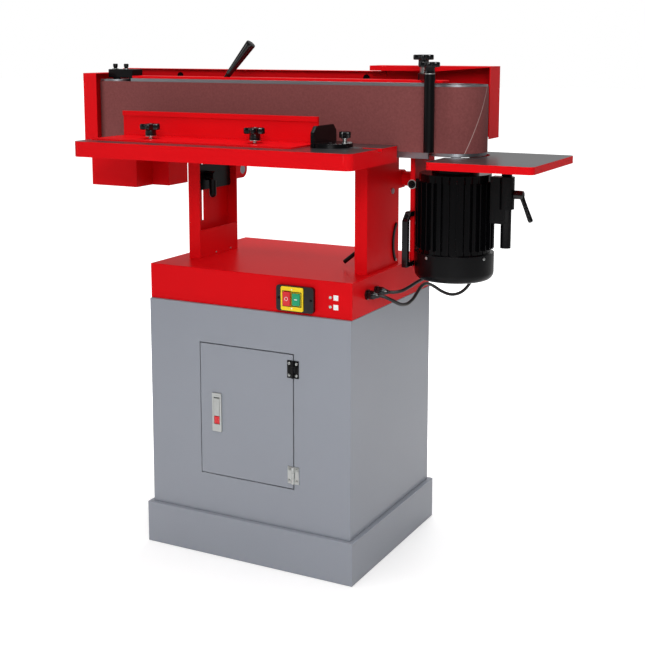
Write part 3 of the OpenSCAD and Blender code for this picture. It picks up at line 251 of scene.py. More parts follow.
low = {node: millimetres(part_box(node)[0]) for node in frame["nodes"]}
high = {node: millimetres(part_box(node)[1]) for node in frame["nodes"]}
middle = {node: (low[node] + high[node]) / 2 for node in frame["nodes"]}
axis_of = {joint["name"]: millimetres(joint["pos_m"]) for joint in frame["joints"] if "pos_m" in joint}
body_of = {node: body for body, nodes in frame["record"]["behaviour"]["bodies"].items() for node in nodes}
front, rear, right, up = (0, -1, 0), (0, 1, 0), (1, 0, 0), (0, 0, 1)
table_top = high["table"].z
print("table top at", table_top, "mm, motor drum's axis at", list(axis_of["drive_spin"].xy), "mm")

# %% [markdown]
# The sheet steel and the castings are sprayed with powder and baked. That leaves a hard even skin with a
# faint orange peel: a deep red with little glare on the machine, and a grey with a soft gloss on the
# cabinet. The real peel is about 2 mm wide, too fine for this render, so it is drawn two to three times
# as coarse.

# %% Painted steel
red_paint = make_finish("red_paint", "red powder coat", "#d50d15", "#cb0b13", patch=260, grain=6,
                        relief=0.05, Roughness=0.34, IOR=1.5, Specular_IOR_Level=0.06)
grey_paint = make_finish("grey_paint", "grey powder coat", "#8c9099", "#868a93", patch=320, grain=5,
                         relief=0.04, Roughness=0.28, IOR=1.5, Specular_IOR_Level=0.6)
black_steel = make_finish("black_steel", "black powder coat", "#060607", "#0a0a0c", patch=120, grain=4,
                          relief=0.1, Roughness=0.28, IOR=1.5, Specular_IOR_Level=0.18)
# Enamel on sand-cast iron keeps the sand's grain, about 3 mm here
black_cast = make_finish("black_cast", "black enamel on cast iron", "#070708", "#0c0c0e", patch=60,
                         grain=3, relief=0.2, Roughness=0.26, IOR=1.52, Specular_IOR_Level=0.2)
# Gloss black on a die-cast motor shell gives long bright streaks
black_gloss = make_finish("black_aluminium", "black gloss on cast aluminium", "#040405", "#08080a",
                          patch=80, grain=5, relief=0.06, Roughness=0.1, IOR=1.52,
                          Specular_IOR_Level=0.14)
print("paints", [m.name for m in (red_paint, grey_paint, black_steel, black_cast, black_gloss)])

# %% [markdown]
# Bare metal shows how it was worked. A table top is ground, so fine lines run along it; a drum is
# turned, so they run round it; and small fittings are zinc plated, bright with a dull bloom. Grinding
# lines are about 0.3 mm apart and are drawn at 2 mm to show. Stretching the grain one way makes them
# lines.

# %% Bare metal
along_x, round_z = (0.02, 1, 1), (0.05, 0.05, 1)
ground_top = make_finish("bright_steel", "ground cast iron", "#868689", "#767679", patch=180, grain=2,
                         relief=0.1, stretch=along_x, Metallic=1, Roughness=0.3)
bright_steel = make_finish("bright_steel", "turned steel", "#a6a9ad", "#92959a", patch=90, grain=2,
                           relief=0.1, stretch=round_z, Metallic=1, Roughness=0.42)
zinc = make_finish("zinc_plate", "zinc plate", "#cfd1cf", "#bcbfbd", patch=12, grain=2, relief=0.08,
                   Metallic=1, Roughness=0.34)
print("metals", [m.name for m in (ground_top, bright_steel, zinc)])

# %% [markdown]
# Knobs, grips and the switch are moulded. Black phenolic comes out of a polished mould, so it is glossy
# and shows small sharp lights, and the coloured switch parts are softer in sheen. The pilot lenses are
# clear, with a milky core.

# %% Plastics
black_plastic = make_finish("black_plastic", "moulded phenolic", "#070708", "#0c0c0e", patch=40,
                            grain=1.5, relief=0.06, Roughness=0.14, IOR=1.55, Specular_IOR_Level=0.45)
yellow_plastic = make_finish("yellow_plastic", "yellow ABS", "#f2d20c", "#ebca08", patch=40, grain=2,
                             relief=0.04, Roughness=0.34, IOR=1.54)
red_plastic = make_finish("red_plastic", "red ABS", "#d5252c", "#c91f26", patch=30, grain=2, relief=0.04,
                          Roughness=0.26, IOR=1.54)
green_plastic = make_finish("green_plastic", "green ABS", "#0d9a6a", "#0b9063", patch=30, grain=2,
                            relief=0.04, Roughness=0.26, IOR=1.54)
white_plastic = make_finish("clear_plastic", "white ABS", "#eceeee", "#e4e6e6", patch=20, grain=2,
                            relief=0.03, Roughness=0.4, IOR=1.54)
clear_plastic = make_finish("clear_plastic", "clear polycarbonate", "#d9efe6", "#cfe8de", patch=10,
                            grain=2, relief=0.02, Roughness=0.12, IOR=1.58, Transmission_Weight=0.35)
plastics = (black_plastic, yellow_plastic, red_plastic, green_plastic, white_plastic, clear_plastic)
print("plastics", [m.name for m in plastics])

# %% [markdown]
# The belt is cloth backing with aluminium oxide grit, brown red and quite dull. Its grit is about
# 0.25 mm; here the grains are drawn at 1.2 mm, in lighter and darker patches of 5 mm, to show. The ends
# of the cloth meet in a slanted splice, which shows as a pale line on the motor drum. The line climbs as
# it goes round, so the shader compares a point's angle round the drum with the angle for its height.

# %% Abrasive
grit = make_finish("abrasive", "aluminium oxide on cloth", "#834443", "#622f2e", patch=5, grain=1.2,
                   relief=0.5, Roughness=0.85, IOR=1.6, Specular_IOR_Level=0.3)
splice_colour = "#a98a86"
splice_low, splice_high, splice_half_angle = -50.9, -9.2, 0.014
splice_z = (1.004, 1.118)
drum = axis_of["drive_spin"] / 1000
tree = grit.node_tree
shader = tree.nodes["Principled BSDF"]
plain_grit = shader.inputs["Base Color"].links[0].from_socket
spot = add(tree, "SeparateXYZ", {0: add(tree, "TexCoord").outputs["Object"]})
across = add(tree, "Math", {0: spot.outputs[0], 1: drum.x}, operation="SUBTRACT")
back = add(tree, "Math", {0: spot.outputs[1], 1: drum.y}, operation="SUBTRACT")
turn = add(tree, "Math", {0: back.outputs[0], 1: across.outputs[0]}, operation="ARCTAN2")
climb = {"From Min": splice_z[0], "From Max": splice_z[1],
         "To Min": math.radians(splice_low), "To Max": math.radians(splice_high)}
wanted = add(tree, "MapRange", {"Value": spot.outputs[2], **climb}, clamp=False)
on_line = add(tree, "Math", {0: turn.outputs[0], 1: wanted.outputs[0], 2: splice_half_angle},
              operation="COMPARE")
splice = add(tree, "Mix", {mix_share: on_line.outputs[0], mix_first: plain_grit,
                           mix_second: linear(splice_colour)}, data_type="RGBA")
tree.links.new(splice.outputs[mix_result], shader.inputs["Base Color"])
print("splice from", splice_low, "to", splice_high, "degrees round the drum")

# %% [markdown]
# CAD solids have knife edges, and real sheet metal is folded and cast iron is rounded, so light runs
# along every real edge. A copy of each CAD mesh gets its long sharp edges rounded by the radius that
# its making leaves, from under 1 mm on cut sheet to 2.5 mm on folded boxes, or by less where short edges
# leave no room. Normals weighted by area keep the wide faces flat in shade, so that only the edges catch
# light. The copy then stands for the node.

# %% Round the edges of the CAD parts
cad_weld, flat_within, corner_above = 1e-5, math.radians(0.5), math.radians(30)


def eased(node, edge):
    """Copy of a CAD mesh with its sharp edges rounded, in mm; edges under three radii stay sharp."""
    made = bmesh.new()
    made.from_mesh(frame["nodes"][node].data)
    bmesh.ops.remove_doubles(made, verts=made.verts, dist=cad_weld)
    bmesh.ops.dissolve_limit(made, angle_limit=flat_within, verts=made.verts, edges=made.edges)
    sharp = [e for e in made.edges if len(e.link_faces) == 2
             and e.calc_face_angle(0) > corner_above and e.calc_length() > 3 * edge / 1000]
    bmesh.ops.bevel(made, geom=sharp, offset=edge / 1000, segments=2, profile=0.5, affect="EDGES",
                    clamp_overlap=True)
    return made


def even(obj):
    """Keeps flat faces flat in shade beside their rounded edges."""
    obj.modifiers.new("even flats", "WEIGHTED_NORMAL").keep_sharp = True
    return obj


painted = [
    (grey_paint, 2.5, ["plinth", "cabinet"]),
    (grey_paint, 0.8, ["door"]),
    (red_paint, 2.5, ["base_cap"]),
    (red_paint, 1.2, ["left_column", "right_column", "head_base", "platen_beam", "motor_plate", "fence",
                      "pivot_tube"]),
    (red_paint, 0.6, ["back_guard", "left_cover", "right_cover", "dust_chute"]),
    (black_steel, 1, ["left_table_bracket", "right_table_bracket", "idler_yoke", "work_stop", "fan_cover",
                      "table_lock_lever", "tilt_lock_lever"]),
    (black_cast, 1, ["mitre_head", "end_table_bracket"]),
    (black_gloss, 0.5, ["motor_housing", "cooling_fan"]),
    (black_plastic, 2.5, ["terminal_box"]),
    (black_plastic, 1.5, ["tilt_handle"]),
    (black_plastic, 1, ["switch_box"]),
    (bright_steel, 0.6, ["platen", "drive_drum", "idler_drum", "mitre_bar", "motor_shaft", "pivot_shaft",
                         "motor_bearings", "idler_bearings", "table_guide_screw"]),
    (zinc, 0.5, ["latch_housing", "latch_lever"]),
    (yellow_plastic, 0.8, ["switch_plate"]),
    (red_plastic, 1.2, ["stop_button", "latch_button"]),
    (green_plastic, 1.2, ["start_button"]),
]
for material, edge, nodes in painted:
    for node in nodes:
        even(piece(node + "_skin", eased(node, edge), material, body_of[node], node))

# %% [markdown]
# The two tables are castings: painted round the sides, ground bare on top and in the gauge's slot. The
# end table's post is black below its plate. Of the two hinges the photograph shows the upper one
# blackened and the lower one bright. Each is one mesh whose faces choose among its finishes.

# %% Two-finish parts
ground_depth, casting_depth, looks_up = 9, 37.5, 0.9


def other_finish(obj, number, chosen):
    """Gives one of an object's finishes to the faces that a test of normal and height in mm picks."""
    for face in obj.data.polygons:
        if chosen(face.normal, 1000 * face.center.z):
            face.material_index = number


for node, edge in (("table", 2), ("end_table", 1.5)):
    top = high[node].z
    made = even(piece(node + "_skin", eased(node, edge), [red_paint, ground_top, black_steel],
                      body_of[node], node))
    other_finish(made, 1, lambda normal, z: normal.z > looks_up and z > top - ground_depth)
    other_finish(made, 2, lambda normal, z: z < top - casting_depth)

for node in ("door_hinge_frame_leaves", "door_hinge_door_leaves"):
    made = piece(node + "_skin", eased(node, 0.4), [zinc, black_steel], body_of[node], node)
    other_finish(made, 1, lambda normal, z: z > middle[node].z)

# %% [markdown]
# Turned and moulded parts are stacks of rings on one axis. A ring may be round, six-sided for a nut,
# lobed for a star knob or fluted for a knurled one, so the radius is a number or a function of the angle.

# %% Stacks of rings
def stack(levels, place, axis=up, sides=40):
    """Mesh of rings on an axis: each level is a radius and a height, in mm from place."""
    upright = Vector(up).rotation_difference(Vector(axis)).to_matrix()
    turns = [2 * math.pi * i / sides for i in range(sides)]
    rings = []
    for radius, height in levels:
        radii = [radius(t) if callable(radius) else radius for t in turns]
        ring = [Vector((r * math.cos(t), r * math.sin(t), height)) for r, t in zip(radii, turns)]
        rings.append([(Vector(place) + upright @ p) / 1000 for p in ring])
    return loft(rings)


def joined(parts):
    """One mesh from several."""
    whole = bmesh.new()
    for part in parts:
        mesh = bpy.data.meshes.new("part")
        part.to_mesh(mesh)
        part.free()
        whole.from_mesh(mesh)
        bpy.data.meshes.remove(mesh)
    return whole


def waved(mean, depth, count):
    """Radius that swings about a mean, for lobes and flutes."""
    return lambda t: mean + depth * math.cos(count * t)


def on_axis(joint, height):
    """Point on an upright joint's axis, at a height in mm."""
    return (axis_of[joint].x, axis_of[joint].y, height)


# %% [markdown]
# Four black star knobs clamp the fence and the work stop. Each is a moulded head with five lobes and
# upright flanks, which catch narrow streaks of light, on a plain neck over a bright ring. The fence's
# knobs stand taller and show some stud. A bright thread shows on the collar of the stop's pivot.

# %% Star knobs
lobes, lobe_mean, lobe_depth, neck_r, ring_r, stud_r = 5, 18.4, 3.3, 11, 11.3, 4.6
fence_sheet, collar, half_pitch = 4.5, 15, 1.25


def star_knob(node, place, body, share, tall=0):
    """Star head, neck and ring from the clamped face up, share times the plain size round."""
    head_low, head_high, seat = 15.5 + 0.7 * tall, 27.5 + tall, 0.6 * tall
    rim = [(0.5, head_low), (0.9, head_low + 0.2), (0.98, head_low + 1), (1, head_low + 2.4),
           (1, head_high - 2.5), (0.98, head_high - 0.9), (0.9, head_high)]
    flanks = [(waved(lobe_mean * share * s, lobe_depth * share * s, lobes), z) for s, z in rim]
    dish = [(8 * share, head_high), (7 * share, head_high - 0.9), (0, head_high - 0.9)]
    neck = [(share * (neck_r - 0.6), seat + 2.5), (share * neck_r, seat + 3),
            (share * (neck_r - 0.4), head_low - 2), (share * neck_r, head_low + 0.5)]
    ring = [(stud_r, 0), (stud_r, seat), (share * (ring_r - 0.5), seat), (share * ring_r, seat + 0.4),
            (share * ring_r, seat + 2.4), (share * (ring_r - 0.5), seat + 2.8),
            (stud_r - 0.4, seat + 2.8)]
    star = joined([stack(flanks + dish, place, sides=80), stack(neck, place)])
    piece(node + "_star", star, black_plastic, body, node)
    piece(node + "_ring", stack(ring, place), zinc, body)


fence_top, stop_top = table_top + fence_sheet, high["work_stop"].z
fence_share, fence_tall, stop_share, clearance = 1.2, 8, 1.12, 0.5
for side in ("left", "right"):
    star_knob(side + "_fence_knob", on_axis(side + "_knob_turn", fence_top), side + "_knob", fence_share,
              fence_tall)
star_knob("stop_pivot_knob", on_axis("stop_pivot_turn", stop_top + clearance), "stop_pivot", stop_share)
star_knob("stop_post_knob", on_axis("stop_post_turn", stop_top - collar), "stop_post", stop_share)
thread_r, thread_depth, turns_up = 8.3, 0.5, int(collar / half_pitch)
thread = [(thread_r + thread_depth * (i % 2), half_pitch * i) for i in range(turns_up + 1)]
piece("stop_collar_thread", stack(thread, on_axis("stop_swing", stop_top - collar)), zinc, "stop")

# %% [markdown]
# The gauge's own knob is a knurled cylinder on a bright neck. The knurl is a fine wave round the ring,
# which needs more sides than a plain ring to stay sharp.

# %% Knurled knob
gauge_disc = 9
gauge_top = low["mitre_head"].z + gauge_disc
gauge_knob = on_axis("mitre_clamp_turn", gauge_top)
knurl = [(waved(12.6, 0.5, 30), z) for z in (13, 25)]
knurled = [(9, 12), (12, 12.3), *knurl, (11.6, 26.4), (9, 27), (0, 27)]
bright_neck = [(7.2, 0), (7.2, 2), (5.2, 2.4), (5.2, 9), (8, 10), (8, 12.2)]
piece("mitre_knob_grip", stack(knurled, gauge_knob, sides=120), black_plastic, "mitre_clamp",
      "mitre_knob")
piece("mitre_knob_neck", stack(bright_neck, gauge_knob), zinc, "mitre_clamp")

# %% [markdown]
# The tension lever and the end table's clamp are what the hand takes hold of. Both have a hub on the
# joint's axis; the first has a grip that widens to its flat end, and the second is a moulding with a slim
# arm. Rings along a leaning axis give every part of them.

# %% Levers
lever_foot, lean, rod_r = axis_of["tension_swing"], math.radians(41), 6.3
lever_axis = (math.sin(lean), 0, math.cos(lean))
hub = stack([(9, -8), (11, -7), (11, 7), (9, 8)], lever_foot, rear)
pin = stack([(rod_r, -22), (rod_r, 22)], lever_foot, rear)
rod = stack([(rod_r, 0), (rod_r, 44)], lever_foot, lever_axis)
grip_levels = [(6.4, 41), (7.2, 42), (7.6, 47), (12.2, 137), (12.5, 141), (11.9, 143.4), (10.4, 144),
               (0, 144)]
piece("tension_lever_rod", joined([hub, pin, rod]), black_steel, "tension", "tension_lever")
piece("tension_lever_grip", stack(grip_levels, lever_foot, lever_axis), black_plastic, "tension")

drop, clamp_reach = math.radians(180 - 22), 16
clamp_axis = (math.sin(drop), 0, math.cos(drop))
clamp_foot = Vector((high["end_table_bracket"].x + clearance, *axis_of["side_clamp_turn"].yz))
clamp_hub = stack([(8.6, 0), (10, 1.2), (10, clamp_reach), (9.4, 21), (7.6, 22), (5, 22), (4.2, 20.6),
                   (0, 20.6)], clamp_foot, right)
clamp_stud = stack([(4, -6), (4, 1)], clamp_foot, right)
clamp_arm = stack([(6, 0), (5.2, 16), (5.2, 32), (5.8, 54), (6, 61), (5, 64.6), (2.6, 66), (0, 66)],
                  clamp_foot + Vector((clamp_reach, 0, 0)), clamp_axis)
piece("end_clamp_lever_moulding", joined([clamp_hub, clamp_stud, clamp_arm]), black_plastic, "side_clamp",
      "end_clamp_lever")

# %% [markdown]
# The belt is a closed strip 1.5 mm thick. It follows the straight front run, the motor drum, the back run
# and the idler, so a list of stations round the loop carries one small cross-section. The straight runs
# need no stations of their own: they are the gaps between the two arcs.

# %% Sanding belt
belt_thick, drum_r, idler_r, arc_steps = 1.5, 72.5, 44, 48
drive, idler = axis_of["drive_spin"], axis_of["idler_spin"]
belt_low, belt_high = Vector((0, 0, low["sanding_belt"].z)), Vector((0, 0, high["sanding_belt"].z))
lean_back = 2 * math.degrees(math.atan2(drive.y - idler.y, drive.x - idler.x))
arcs = ((drive, drum_r, -90, 90 + lean_back), (idler, idler_r, 90 + lean_back, 270))
rings = []
for centre, radius, first, last in arcs:
    for i in range(arc_steps + 1):
        t = math.radians(first + (last - first) * i / arc_steps)
        out = Vector((math.cos(t), math.sin(t), 0))
        rim, inner = [Vector((centre.x, centre.y, 0)) + out * r for r in (radius, radius - belt_thick)]
        rings.append(metres([rim + belt_low, rim + belt_high, inner + belt_high, inner + belt_low]))
piece("sanding_belt_strip", loft(rings, closed=True), grit, "head", "sanding_belt")

# %% [markdown]
# Fasteners tell the eye how big a machine is. A hexagon bolt is a washer, a six-sided head and a
# chamfered top; a pan screw is a low dome with a cross in it. Both are stacks of rings, and each row of
# them is one piece.

# %% Bolts and screws
def six_sided(across_flats):
    """Radius of a hexagon at an angle."""
    return lambda t: across_flats / 2 / math.cos((t + math.pi / 6) % (math.pi / 3) - math.pi / 6)


def crossed(half_width, reach):
    """Radius of a cross-shaped recess at an angle."""
    return lambda t: min(reach, half_width / max(1e-6, min(abs(math.sin(t)), abs(math.cos(t)))))


def hex_bolt(place, axis, flats, tall):
    """Washer and hexagon head on a face."""
    head = six_sided(flats)
    return stack([(flats * 0.9, 0), (flats * 0.9, 1.4), (flats * 0.88, 1.6), (head, 1.6), (head, tall),
                  (flats * 0.46, tall + 0.8), (0, tall + 0.8)], place, axis, 48)


def pan_screw(place, axis, r):
    """Low dome with a cross recess."""
    dome = [(r, 0), (r, r * 0.25), (r * 0.92, r * 0.45), (r * 0.72, r * 0.58)]
    recess = [(crossed(r * 0.13, r * 0.55), r * 0.6), (crossed(r * 0.12, r * 0.5), r * 0.3), (0, r * 0.3)]
    return stack(dome + recess, place, axis, 48)


def washer(place, axis, bore_r, outer_r, thick):
    """Plain ring on a face."""
    return stack([(bore_r, 0), (outer_r, 0), (outer_r, thick), (bore_r, thick)], place, axis)


# %% [markdown]
# On the stand, four screws hold each hinge, two hold the switch box and four hold the columns' folded
# feet. A nut closes the left end of the tilt axis.

# %% Fasteners of the stand
hinge_tall, hinge_inset, hinge_reach, hinge_face = 42, 7, 9.6, -232
hinge_x = axis_of["door_swing"].x
hinge_feet = (low["door_hinge_door_leaves"].z, high["door_hinge_door_leaves"].z - hinge_tall)
hinge_rows = [z + dz for z in hinge_feet for dz in (hinge_inset, hinge_tall - hinge_inset)]
for side, body, reach in (("frame", "stand", hinge_reach), ("door", "door", -hinge_reach)):
    screws = [pan_screw((hinge_x + reach, hinge_face, z), front, 3.4) for z in hinge_rows]
    piece("hinge_screws_" + side, joined(screws), zinc, body)

switch_inset = 7
switch_x = (low["switch_box"].x + switch_inset, high["switch_box"].x - switch_inset)
switch_z = round(middle["switch_box"].z, 1)
switch_screws = [pan_screw((x, low["switch_box"].y, switch_z), front, 3) for x in switch_x]
piece("switch_screws", joined(switch_screws), black_steel, "stand")

gusset_z, gusset_y = low["left_column"].z + 6, (-45, 24)
inner_faces = ((high["left_column"].x, 1), (low["right_column"].x, -1))
gusset_screws = [pan_screw((x, y, gusset_z), (side, 0, 0), 2.6)
                 for x, side in inner_faces for y in gusset_y]
piece("gusset_screws", joined(gusset_screws), zinc, "stand")

tilt_y, tilt_z = axis_of["head_tilt"].yz
piece("pivot_nut", hex_bolt((low["pivot_tube"].x, tilt_y, tilt_z), (-1, 0, 0), 20, 8), zinc, "stand")

# %% [markdown]
# The head is bolted together from sheet and castings. Bolts hold the guard, the motor plate, its handle
# and the platen's beam; nuts and bolts hold the motor's feet; and small screws hold the fan cover and the
# lid of the terminal box.

# %% Fasteners of the head
guard_y, guard_sheet = high["back_guard"].y, 2
inner_x, inner_z = (-405, 150), 1160
outer_x, outer_z = (-520, -260, 0, 170), 1000
guard_bolts = [hex_bolt((x, guard_y - guard_sheet, inner_z), front, 10, 4) for x in inner_x]
guard_bolts += [hex_bolt((x, guard_y, outer_z), rear, 10, 4) for x in outer_x]
piece("guard_bolts", joined(guard_bolts), black_steel, "head")

plate_x, plate_y, washer_thick = 331, low["motor_plate"].y, 1.4
plate_bolt = hex_bolt((plate_x, plate_y - washer_thick, tilt_z), front, 10, 7)
piece("plate_bolt", plate_bolt, black_steel, "head")
piece("plate_washer", washer((plate_x, plate_y, tilt_z), front, 4, 11, washer_thick), zinc, "head")

foot_bolt_y, foot_bolt_z = -8, (826, 921)
foot_nut_x, foot_nut_y, foot_nut_z = 349, -12.5, (824, 914)
foot_bolts = [hex_bolt((high["motor_plate"].x, foot_bolt_y, z), right, 9, 5) for z in foot_bolt_z]
foot_nuts = [hex_bolt((foot_nut_x, foot_nut_y, z), front, 10, 4) for z in foot_nut_z]
piece("motor_foot_bolts", joined(foot_bolts), zinc, "head")
piece("foot_nuts", joined(foot_nuts), zinc, "head")

handle_inset, beam_x, beam_z = 10, 276, 1150
handle_end = (middle["tilt_handle"].x, low["tilt_handle"].y + handle_inset,
              high["tilt_handle"].z - handle_inset)
piece("handle_bolt", hex_bolt(handle_end, (0, -1, 1), 7, 3), black_steel, "head")
piece("beam_bolt", hex_bolt((beam_x, low["platen_beam"].y, beam_z), front, 7, 3), black_steel, "head")

cover_r, cover_z, cover_turns = 92.3, 757, (-112, -22, 68, 158)
cover_ways = [Vector((math.cos(math.radians(d)), math.sin(math.radians(d)), 0)) for d in cover_turns]
cover_screws = [pan_screw(Vector(on_axis("drive_spin", cover_z)) + cover_r * way, way, 3.6)
                for way in cover_ways]
piece("fan_cover_screws", joined(cover_screws), zinc, "head")

lid_y, lid_inset = 145, 8
lid_x = (low["terminal_box"].x + lid_inset, high["terminal_box"].x - lid_inset)
lid_z = (low["terminal_box"].z + lid_inset, high["terminal_box"].z - lid_inset)
box_screws = [pan_screw((x, lid_y, z), rear, 3.5) for x in lid_x for z in lid_z]
piece("box_screws", joined(box_screws), zinc, "head")

# %% [markdown]
# A dark curved guide for the tilt shows behind the right column. It is a flat bar on an arc, held by a
# screw. The arc comes from a formula, a little taller than it is deep.

# %% Tilt guide
guide_thick, guide_wide, guide_turns = 4, 7, range(-50, 70, 10)
guide_y, guide_z, guide_deep, guide_tall = 62, 765, 42, 58
inside, outside = high["right_column"].x, high["right_column"].x + guide_thick
guide_bar = ((inside, 0), (outside, 0), (outside, guide_wide), (inside, guide_wide))
guide_arc = []
for turn in map(math.radians, guide_turns):
    ring = [(x, guide_y - (guide_deep - inset) * math.cos(turn),
             guide_z + (guide_tall - inset) * math.sin(turn)) for x, inset in guide_bar]
    guide_arc.append(metres(ring))
piece("tilt_guide_arc", loft(guide_arc), black_steel, "stand")
guide_screw = (outside, 37, 724)
piece("guide_arc_screw", pan_screw(guide_screw, right, 3.4), zinc, "stand")

# %% [markdown]
# Two socket screws on the idler's yoke set how the belt tracks. A hexagon socket is a ring that goes back
# down into the head, and a plated washer lies under each head.

# %% Tracking screws
socket = six_sided(6)
socket_head = [(5, 5.5), (6.2, 6), (6.2, 13), (5.6, 14), (socket, 14), (socket, 10), (0, 10)]
tracking_x, yoke_top = (-520, -485), 1178
tracking = [(x, axis_of["idler_spin"].y, yoke_top) for x in tracking_x]
piece("tracking_washers", joined([washer(place, up, 5, 8.6, 1.6) for place in tracking]), zinc,
      "idler_carriage")
piece("tracking_heads", joined([stack(socket_head, place, sides=48) for place in tracking]), black_steel,
      "idler_carriage")

# %% [markdown]
# The cable glands have a six-sided flange, a fluted nut and a tapered nose that eases the cable's bend.
# They sit on the side of the cap, where the two routes start.

# %% Cable glands
flange, flutes = six_sided(22), waved(10, 0.45, 16)
gland = [(flange, 0), (flange, 5), (9, 5.4), (9, 6.4), (flutes, 7), (flutes, 17), (8.6, 21), (7, 25),
         (5.6, 31), (4.6, 32), (4.4, 30)]
gland_feet = [(high["base_cap"].x, *route[0][1:]) for route in (control_route, motor_route)]
piece("cable_gland_nuts", joined([stack(gland, place, right, 96) for place in gland_feet]), black_plastic,
      "stand", "cable_glands")

# %% [markdown]
# The pilot lights are small lenses beside the switch, with two plain white tags. On the switch, black
# frames set off the two buttons, two white rivets hold the yellow plate, and the buttons carry a ring and
# a dash, raised a little so that they are geometry and not paint.

# %% Pilot lights and switch
pilot_x, cap_front, pilot_rows = 221, low["base_cap"].y, (switch_z + 11, switch_z - 11)
tag_x, tag_half, tag_thick = (229, 241), 6, 0.6
plate_front, button_front, mark_half = low["switch_plate"].y, low["stop_button"].y, 0.2
mark_y = (button_front - mark_half, button_front + mark_half)
corners = ((0, 0), (1, 0), (1, 1), (0, 1))


def block(x, y, z):
    """Small flat block between pairs of coordinates, in mm."""
    return loft([metres([(x[i], y[j], h) for i, j in corners]) for h in z])


def surround(x, half, wide):
    """Flat frame on the switch plate: its two sides, half its height and the width of its bars, in mm."""
    z = (switch_z - half, switch_z + half)
    y = (plate_front - 0.4, plate_front + 0.1)
    inward = (wide, -wide)
    loops = [[(x[i] + inward[i] * inset, depth, z[j] + inward[j] * inset) for i, j in corners]
             for depth, inset in ((y[0], 0), (y[1], 0), (y[1], 1), (y[0], 1))]
    return loft([metres(loop) for loop in loops], closed=True)


pilot = [(3.4, 4), (3.4, -1.2), (3.1, -1.8), (2.2, -2), (0, -2.1)]
pilots = [stack(pilot, (pilot_x, cap_front, z), rear, 24) for z in pilot_rows]
piece("pilot_lenses", joined(pilots), clear_plastic, "stand", "pilot_lights")
tag_y = (cap_front - tag_thick, cap_front)
tags = [block(tag_x, tag_y, (z - tag_half, z + tag_half)) for z in pilot_rows]
piece("pilot_tags", joined(tags), white_plastic, "stand")

stop_sides, start_sides = (102.5, 126.5), (127.5, 152.5)
surrounds = [surround(stop_sides, 18.5, 1.4), surround(start_sides, 17.5, 1.8)]
piece("button_surrounds", joined(surrounds), black_steel, "stand")
rivet, rivet_z = [(1.7, 0), (1.7, 0.4), (1.2, 0.7), (0, 0.8)], (641.5, 686)
rivets = [stack(rivet, (middle["switch_plate"].x, plate_front, z), front, 16) for z in rivet_z]
piece("plate_rivets", joined(rivets), white_plastic, "stand")

start_x, stop_x = middle["start_button"].x, middle["stop_button"].x
dash_half, dash_z = 4, (663, 665)
dash = block((start_x - dash_half, start_x + dash_half), mark_y, dash_z)
piece("start_mark", dash, white_plastic, "start_button")
zero_r, zero_bore = 4.4, 3.5
zero_loops = [(zero_r, mark_y[0]), (zero_r, mark_y[1]), (zero_bore, mark_y[1]), (zero_bore, mark_y[0])]
zero = [metres([(stop_x + r * u, y, switch_z + r * v) for u, v in circle(1, 24)]) for r, y in zero_loops]
piece("stop_mark", loft(zero, closed=True), white_plastic, "stop_button")

# %% [markdown]
# The mitre gauge carries a scale of fine lines round its half disc, and a bright pointer on its bar reads
# the angle. The lines are raised by a tenth of a millimetre, as engraved and filled ones look.

# %% Mitre scale and pointer
tick_step, tick_half, tick_rise = math.radians(7.5), 0.4, 0.1
long_tick, short_tick, tick_end = 41, 44, 50
swivel = Vector(on_axis("mitre_swivel", 0))
tick_levels = (gauge_top - tick_rise, gauge_top + tick_rise)
ticks = []
for step in range(-9, 10):
    t = step * tick_step
    along = Vector((math.cos(t), math.sin(t), 0))
    beside = Vector((-math.sin(t), math.cos(t), 0)) * tick_half
    start = swivel + along * (short_tick if step % 2 else long_tick)
    end = swivel + along * tick_end
    flat = [start - beside, end - beside, end + beside, start + beside]
    ticks.append(loft([metres([p + Vector((0, 0, z)) for p in flat]) for z in tick_levels]))
piece("mitre_scale", joined(ticks), white_plastic, "mitre_gauge")

tip, shoulder, tail, pointer_half, pointer_thick = 252, 258, 272, 5, 2
near, far = swivel.y - pointer_half, swivel.y + pointer_half
pointer = [(tip, swivel.y), (shoulder, near), (tail, near), (tail, far), (shoulder, far)]
pointer_levels = (table_top, table_top + pointer_thick)
piece("mitre_pointer", loft([metres([(x, y, z) for x, y in pointer]) for z in pointer_levels]), zinc,
      "mitre_slide")

# %% [markdown]
# The photograph is cut out on white, so the camera sees a white background, and a floor that is lifted to
# white away from the machine and keeps its soft shadow close by. The floor's lift is light that only the
# camera sees, so none of it falls on the machine.

# %% Floor
floor_size, floor_drop = 30, 0.0005
floor_paint = linear("#e7e7e7")
lift_near, lift_far, lift_least = 0.45, 1.3, 0.3
floor_mesh = bmesh.new()
bmesh.ops.create_grid(floor_mesh, x_segments=1, y_segments=1, size=floor_size)
for vert in floor_mesh.verts:
    vert.co.z = -floor_drop
mesh = bpy.data.meshes.new("floor")
floor_mesh.to_mesh(mesh)
floor_mesh.free()
floor = bpy.data.objects.new("floor", mesh)
scene.collection.objects.link(floor)
white_floor = bpy.data.materials.new("matt white floor")
white_floor.use_nodes = True
mesh.materials.append(white_floor)
tree = white_floor.node_tree
tree.nodes.clear()
matt = add(tree, "BsdfDiffuse", {"Color": floor_paint})
away = add(tree, "VectorMath", {0: add(tree, "TexCoord").outputs["Object"]}, operation="LENGTH")
lift = add(tree, "MapRange", {"Value": away.outputs["Value"], "From Min": lift_near, "From Max": lift_far,
                              "To Min": lift_least, "To Max": 1})
lifted = add(tree, "Math", {0: add(tree, "LightPath").outputs["Is Camera Ray"], 1: lift.outputs[0]},
             operation="MULTIPLY")
glow = add(tree, "Emission", {"Color": linear("#ffffff"), "Strength": lifted.outputs[0]})
both = add(tree, "AddShader", {0: matt.outputs[0], 1: glow.outputs[0]})
add(tree, "OutputMaterial", {0: both.outputs[0]})
print("floor lifted from", lift_least, "near the machine to white at", lift_far, "m")

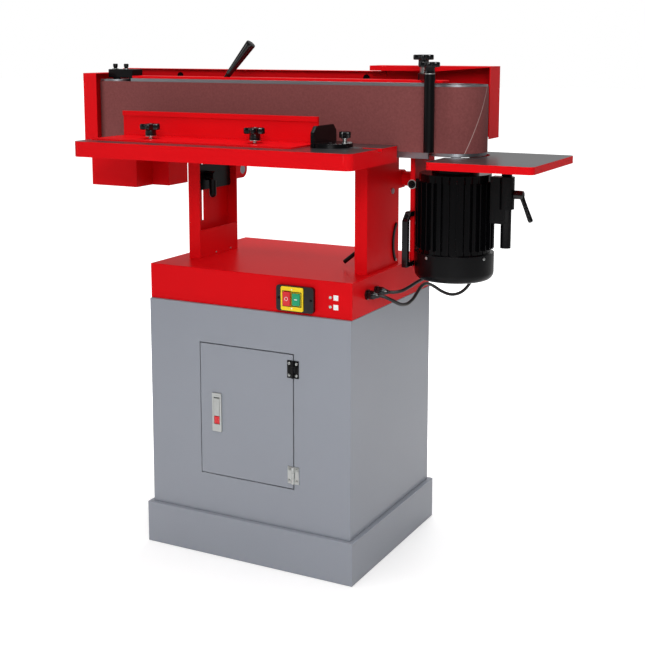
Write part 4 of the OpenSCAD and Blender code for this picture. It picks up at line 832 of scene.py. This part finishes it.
# %% [markdown]
# The camera sees a white world, and the machine sees a studio: an even soft light all round, and in its
# shiny faces a bright backdrop behind it and a dark room in front. Dark surroundings keep red paint and
# black enamel deep in colour, and the flat tops mirror the backdrop.

# %% World
soft_light, dark_room, bright_backdrop = 0.36, 0.04, 0.44
backdrop_starts, backdrop_full = 0.3, 0.9
world = bpy.data.worlds.new("white studio")
scene.world = world
world.use_nodes = True
tree = world.node_tree
sky = tree.nodes["Background"]
sky.inputs["Color"].default_value = linear("#ffffff")
toward = add(tree, "SeparateXYZ", {0: add(tree, "TexCoord").outputs["Generated"]})
mirrored = add(tree, "MapRange", {"Value": toward.outputs[1], "From Min": backdrop_starts,
                                  "From Max": backdrop_full, "To Min": dark_room,
                                  "To Max": bright_backdrop})
ray = add(tree, "LightPath")
room = add(tree, "MapRange", {"Value": ray.outputs["Is Glossy Ray"], "To Min": soft_light,
                              "To Max": mirrored.outputs[0]})
seen = add(tree, "MapRange", {"Value": ray.outputs["Is Camera Ray"], "To Min": room.outputs[0],
                              "To Max": 1})
tree.links.new(seen.outputs[0], sky.inputs["Strength"])
print("world light", soft_light, "and backdrop", bright_backdrop)

# %% [markdown]
# Soft light comes from big panels, as in a product studio: a key beside the camera, a weaker fill from
# the left, a panel overhead and one behind. The last one is kept out of reflections, because the bright
# backdrop is what the flat tops mirror.

# %% Lamps
aim = Vector((0, 0, 0.7))
panels = (("key", (1.7, -3.1, 2.4), 1.4, 75), ("fill", (-3.2, -2.2, 1.8), 1.6, 14),
          ("overhead", (0, -0.4, 3.8), 2.4, 72), ("backlight", (-0.3, 2.9, 2.0), 2.0, 60))
for name, place, size, power in panels:
    lamp = bpy.data.objects.new(name, bpy.data.lights.new(name, "AREA"))
    lamp.data.size = size
    lamp.data.energy = power
    lamp.location = place
    lamp.visible_glossy = name != "backlight"
    lamp.rotation_euler = (aim - Vector(place)).to_track_quat("-Z", "Y").to_euler()
    scene.collection.objects.link(lamp)
    print(name, "at", place, power, "W")
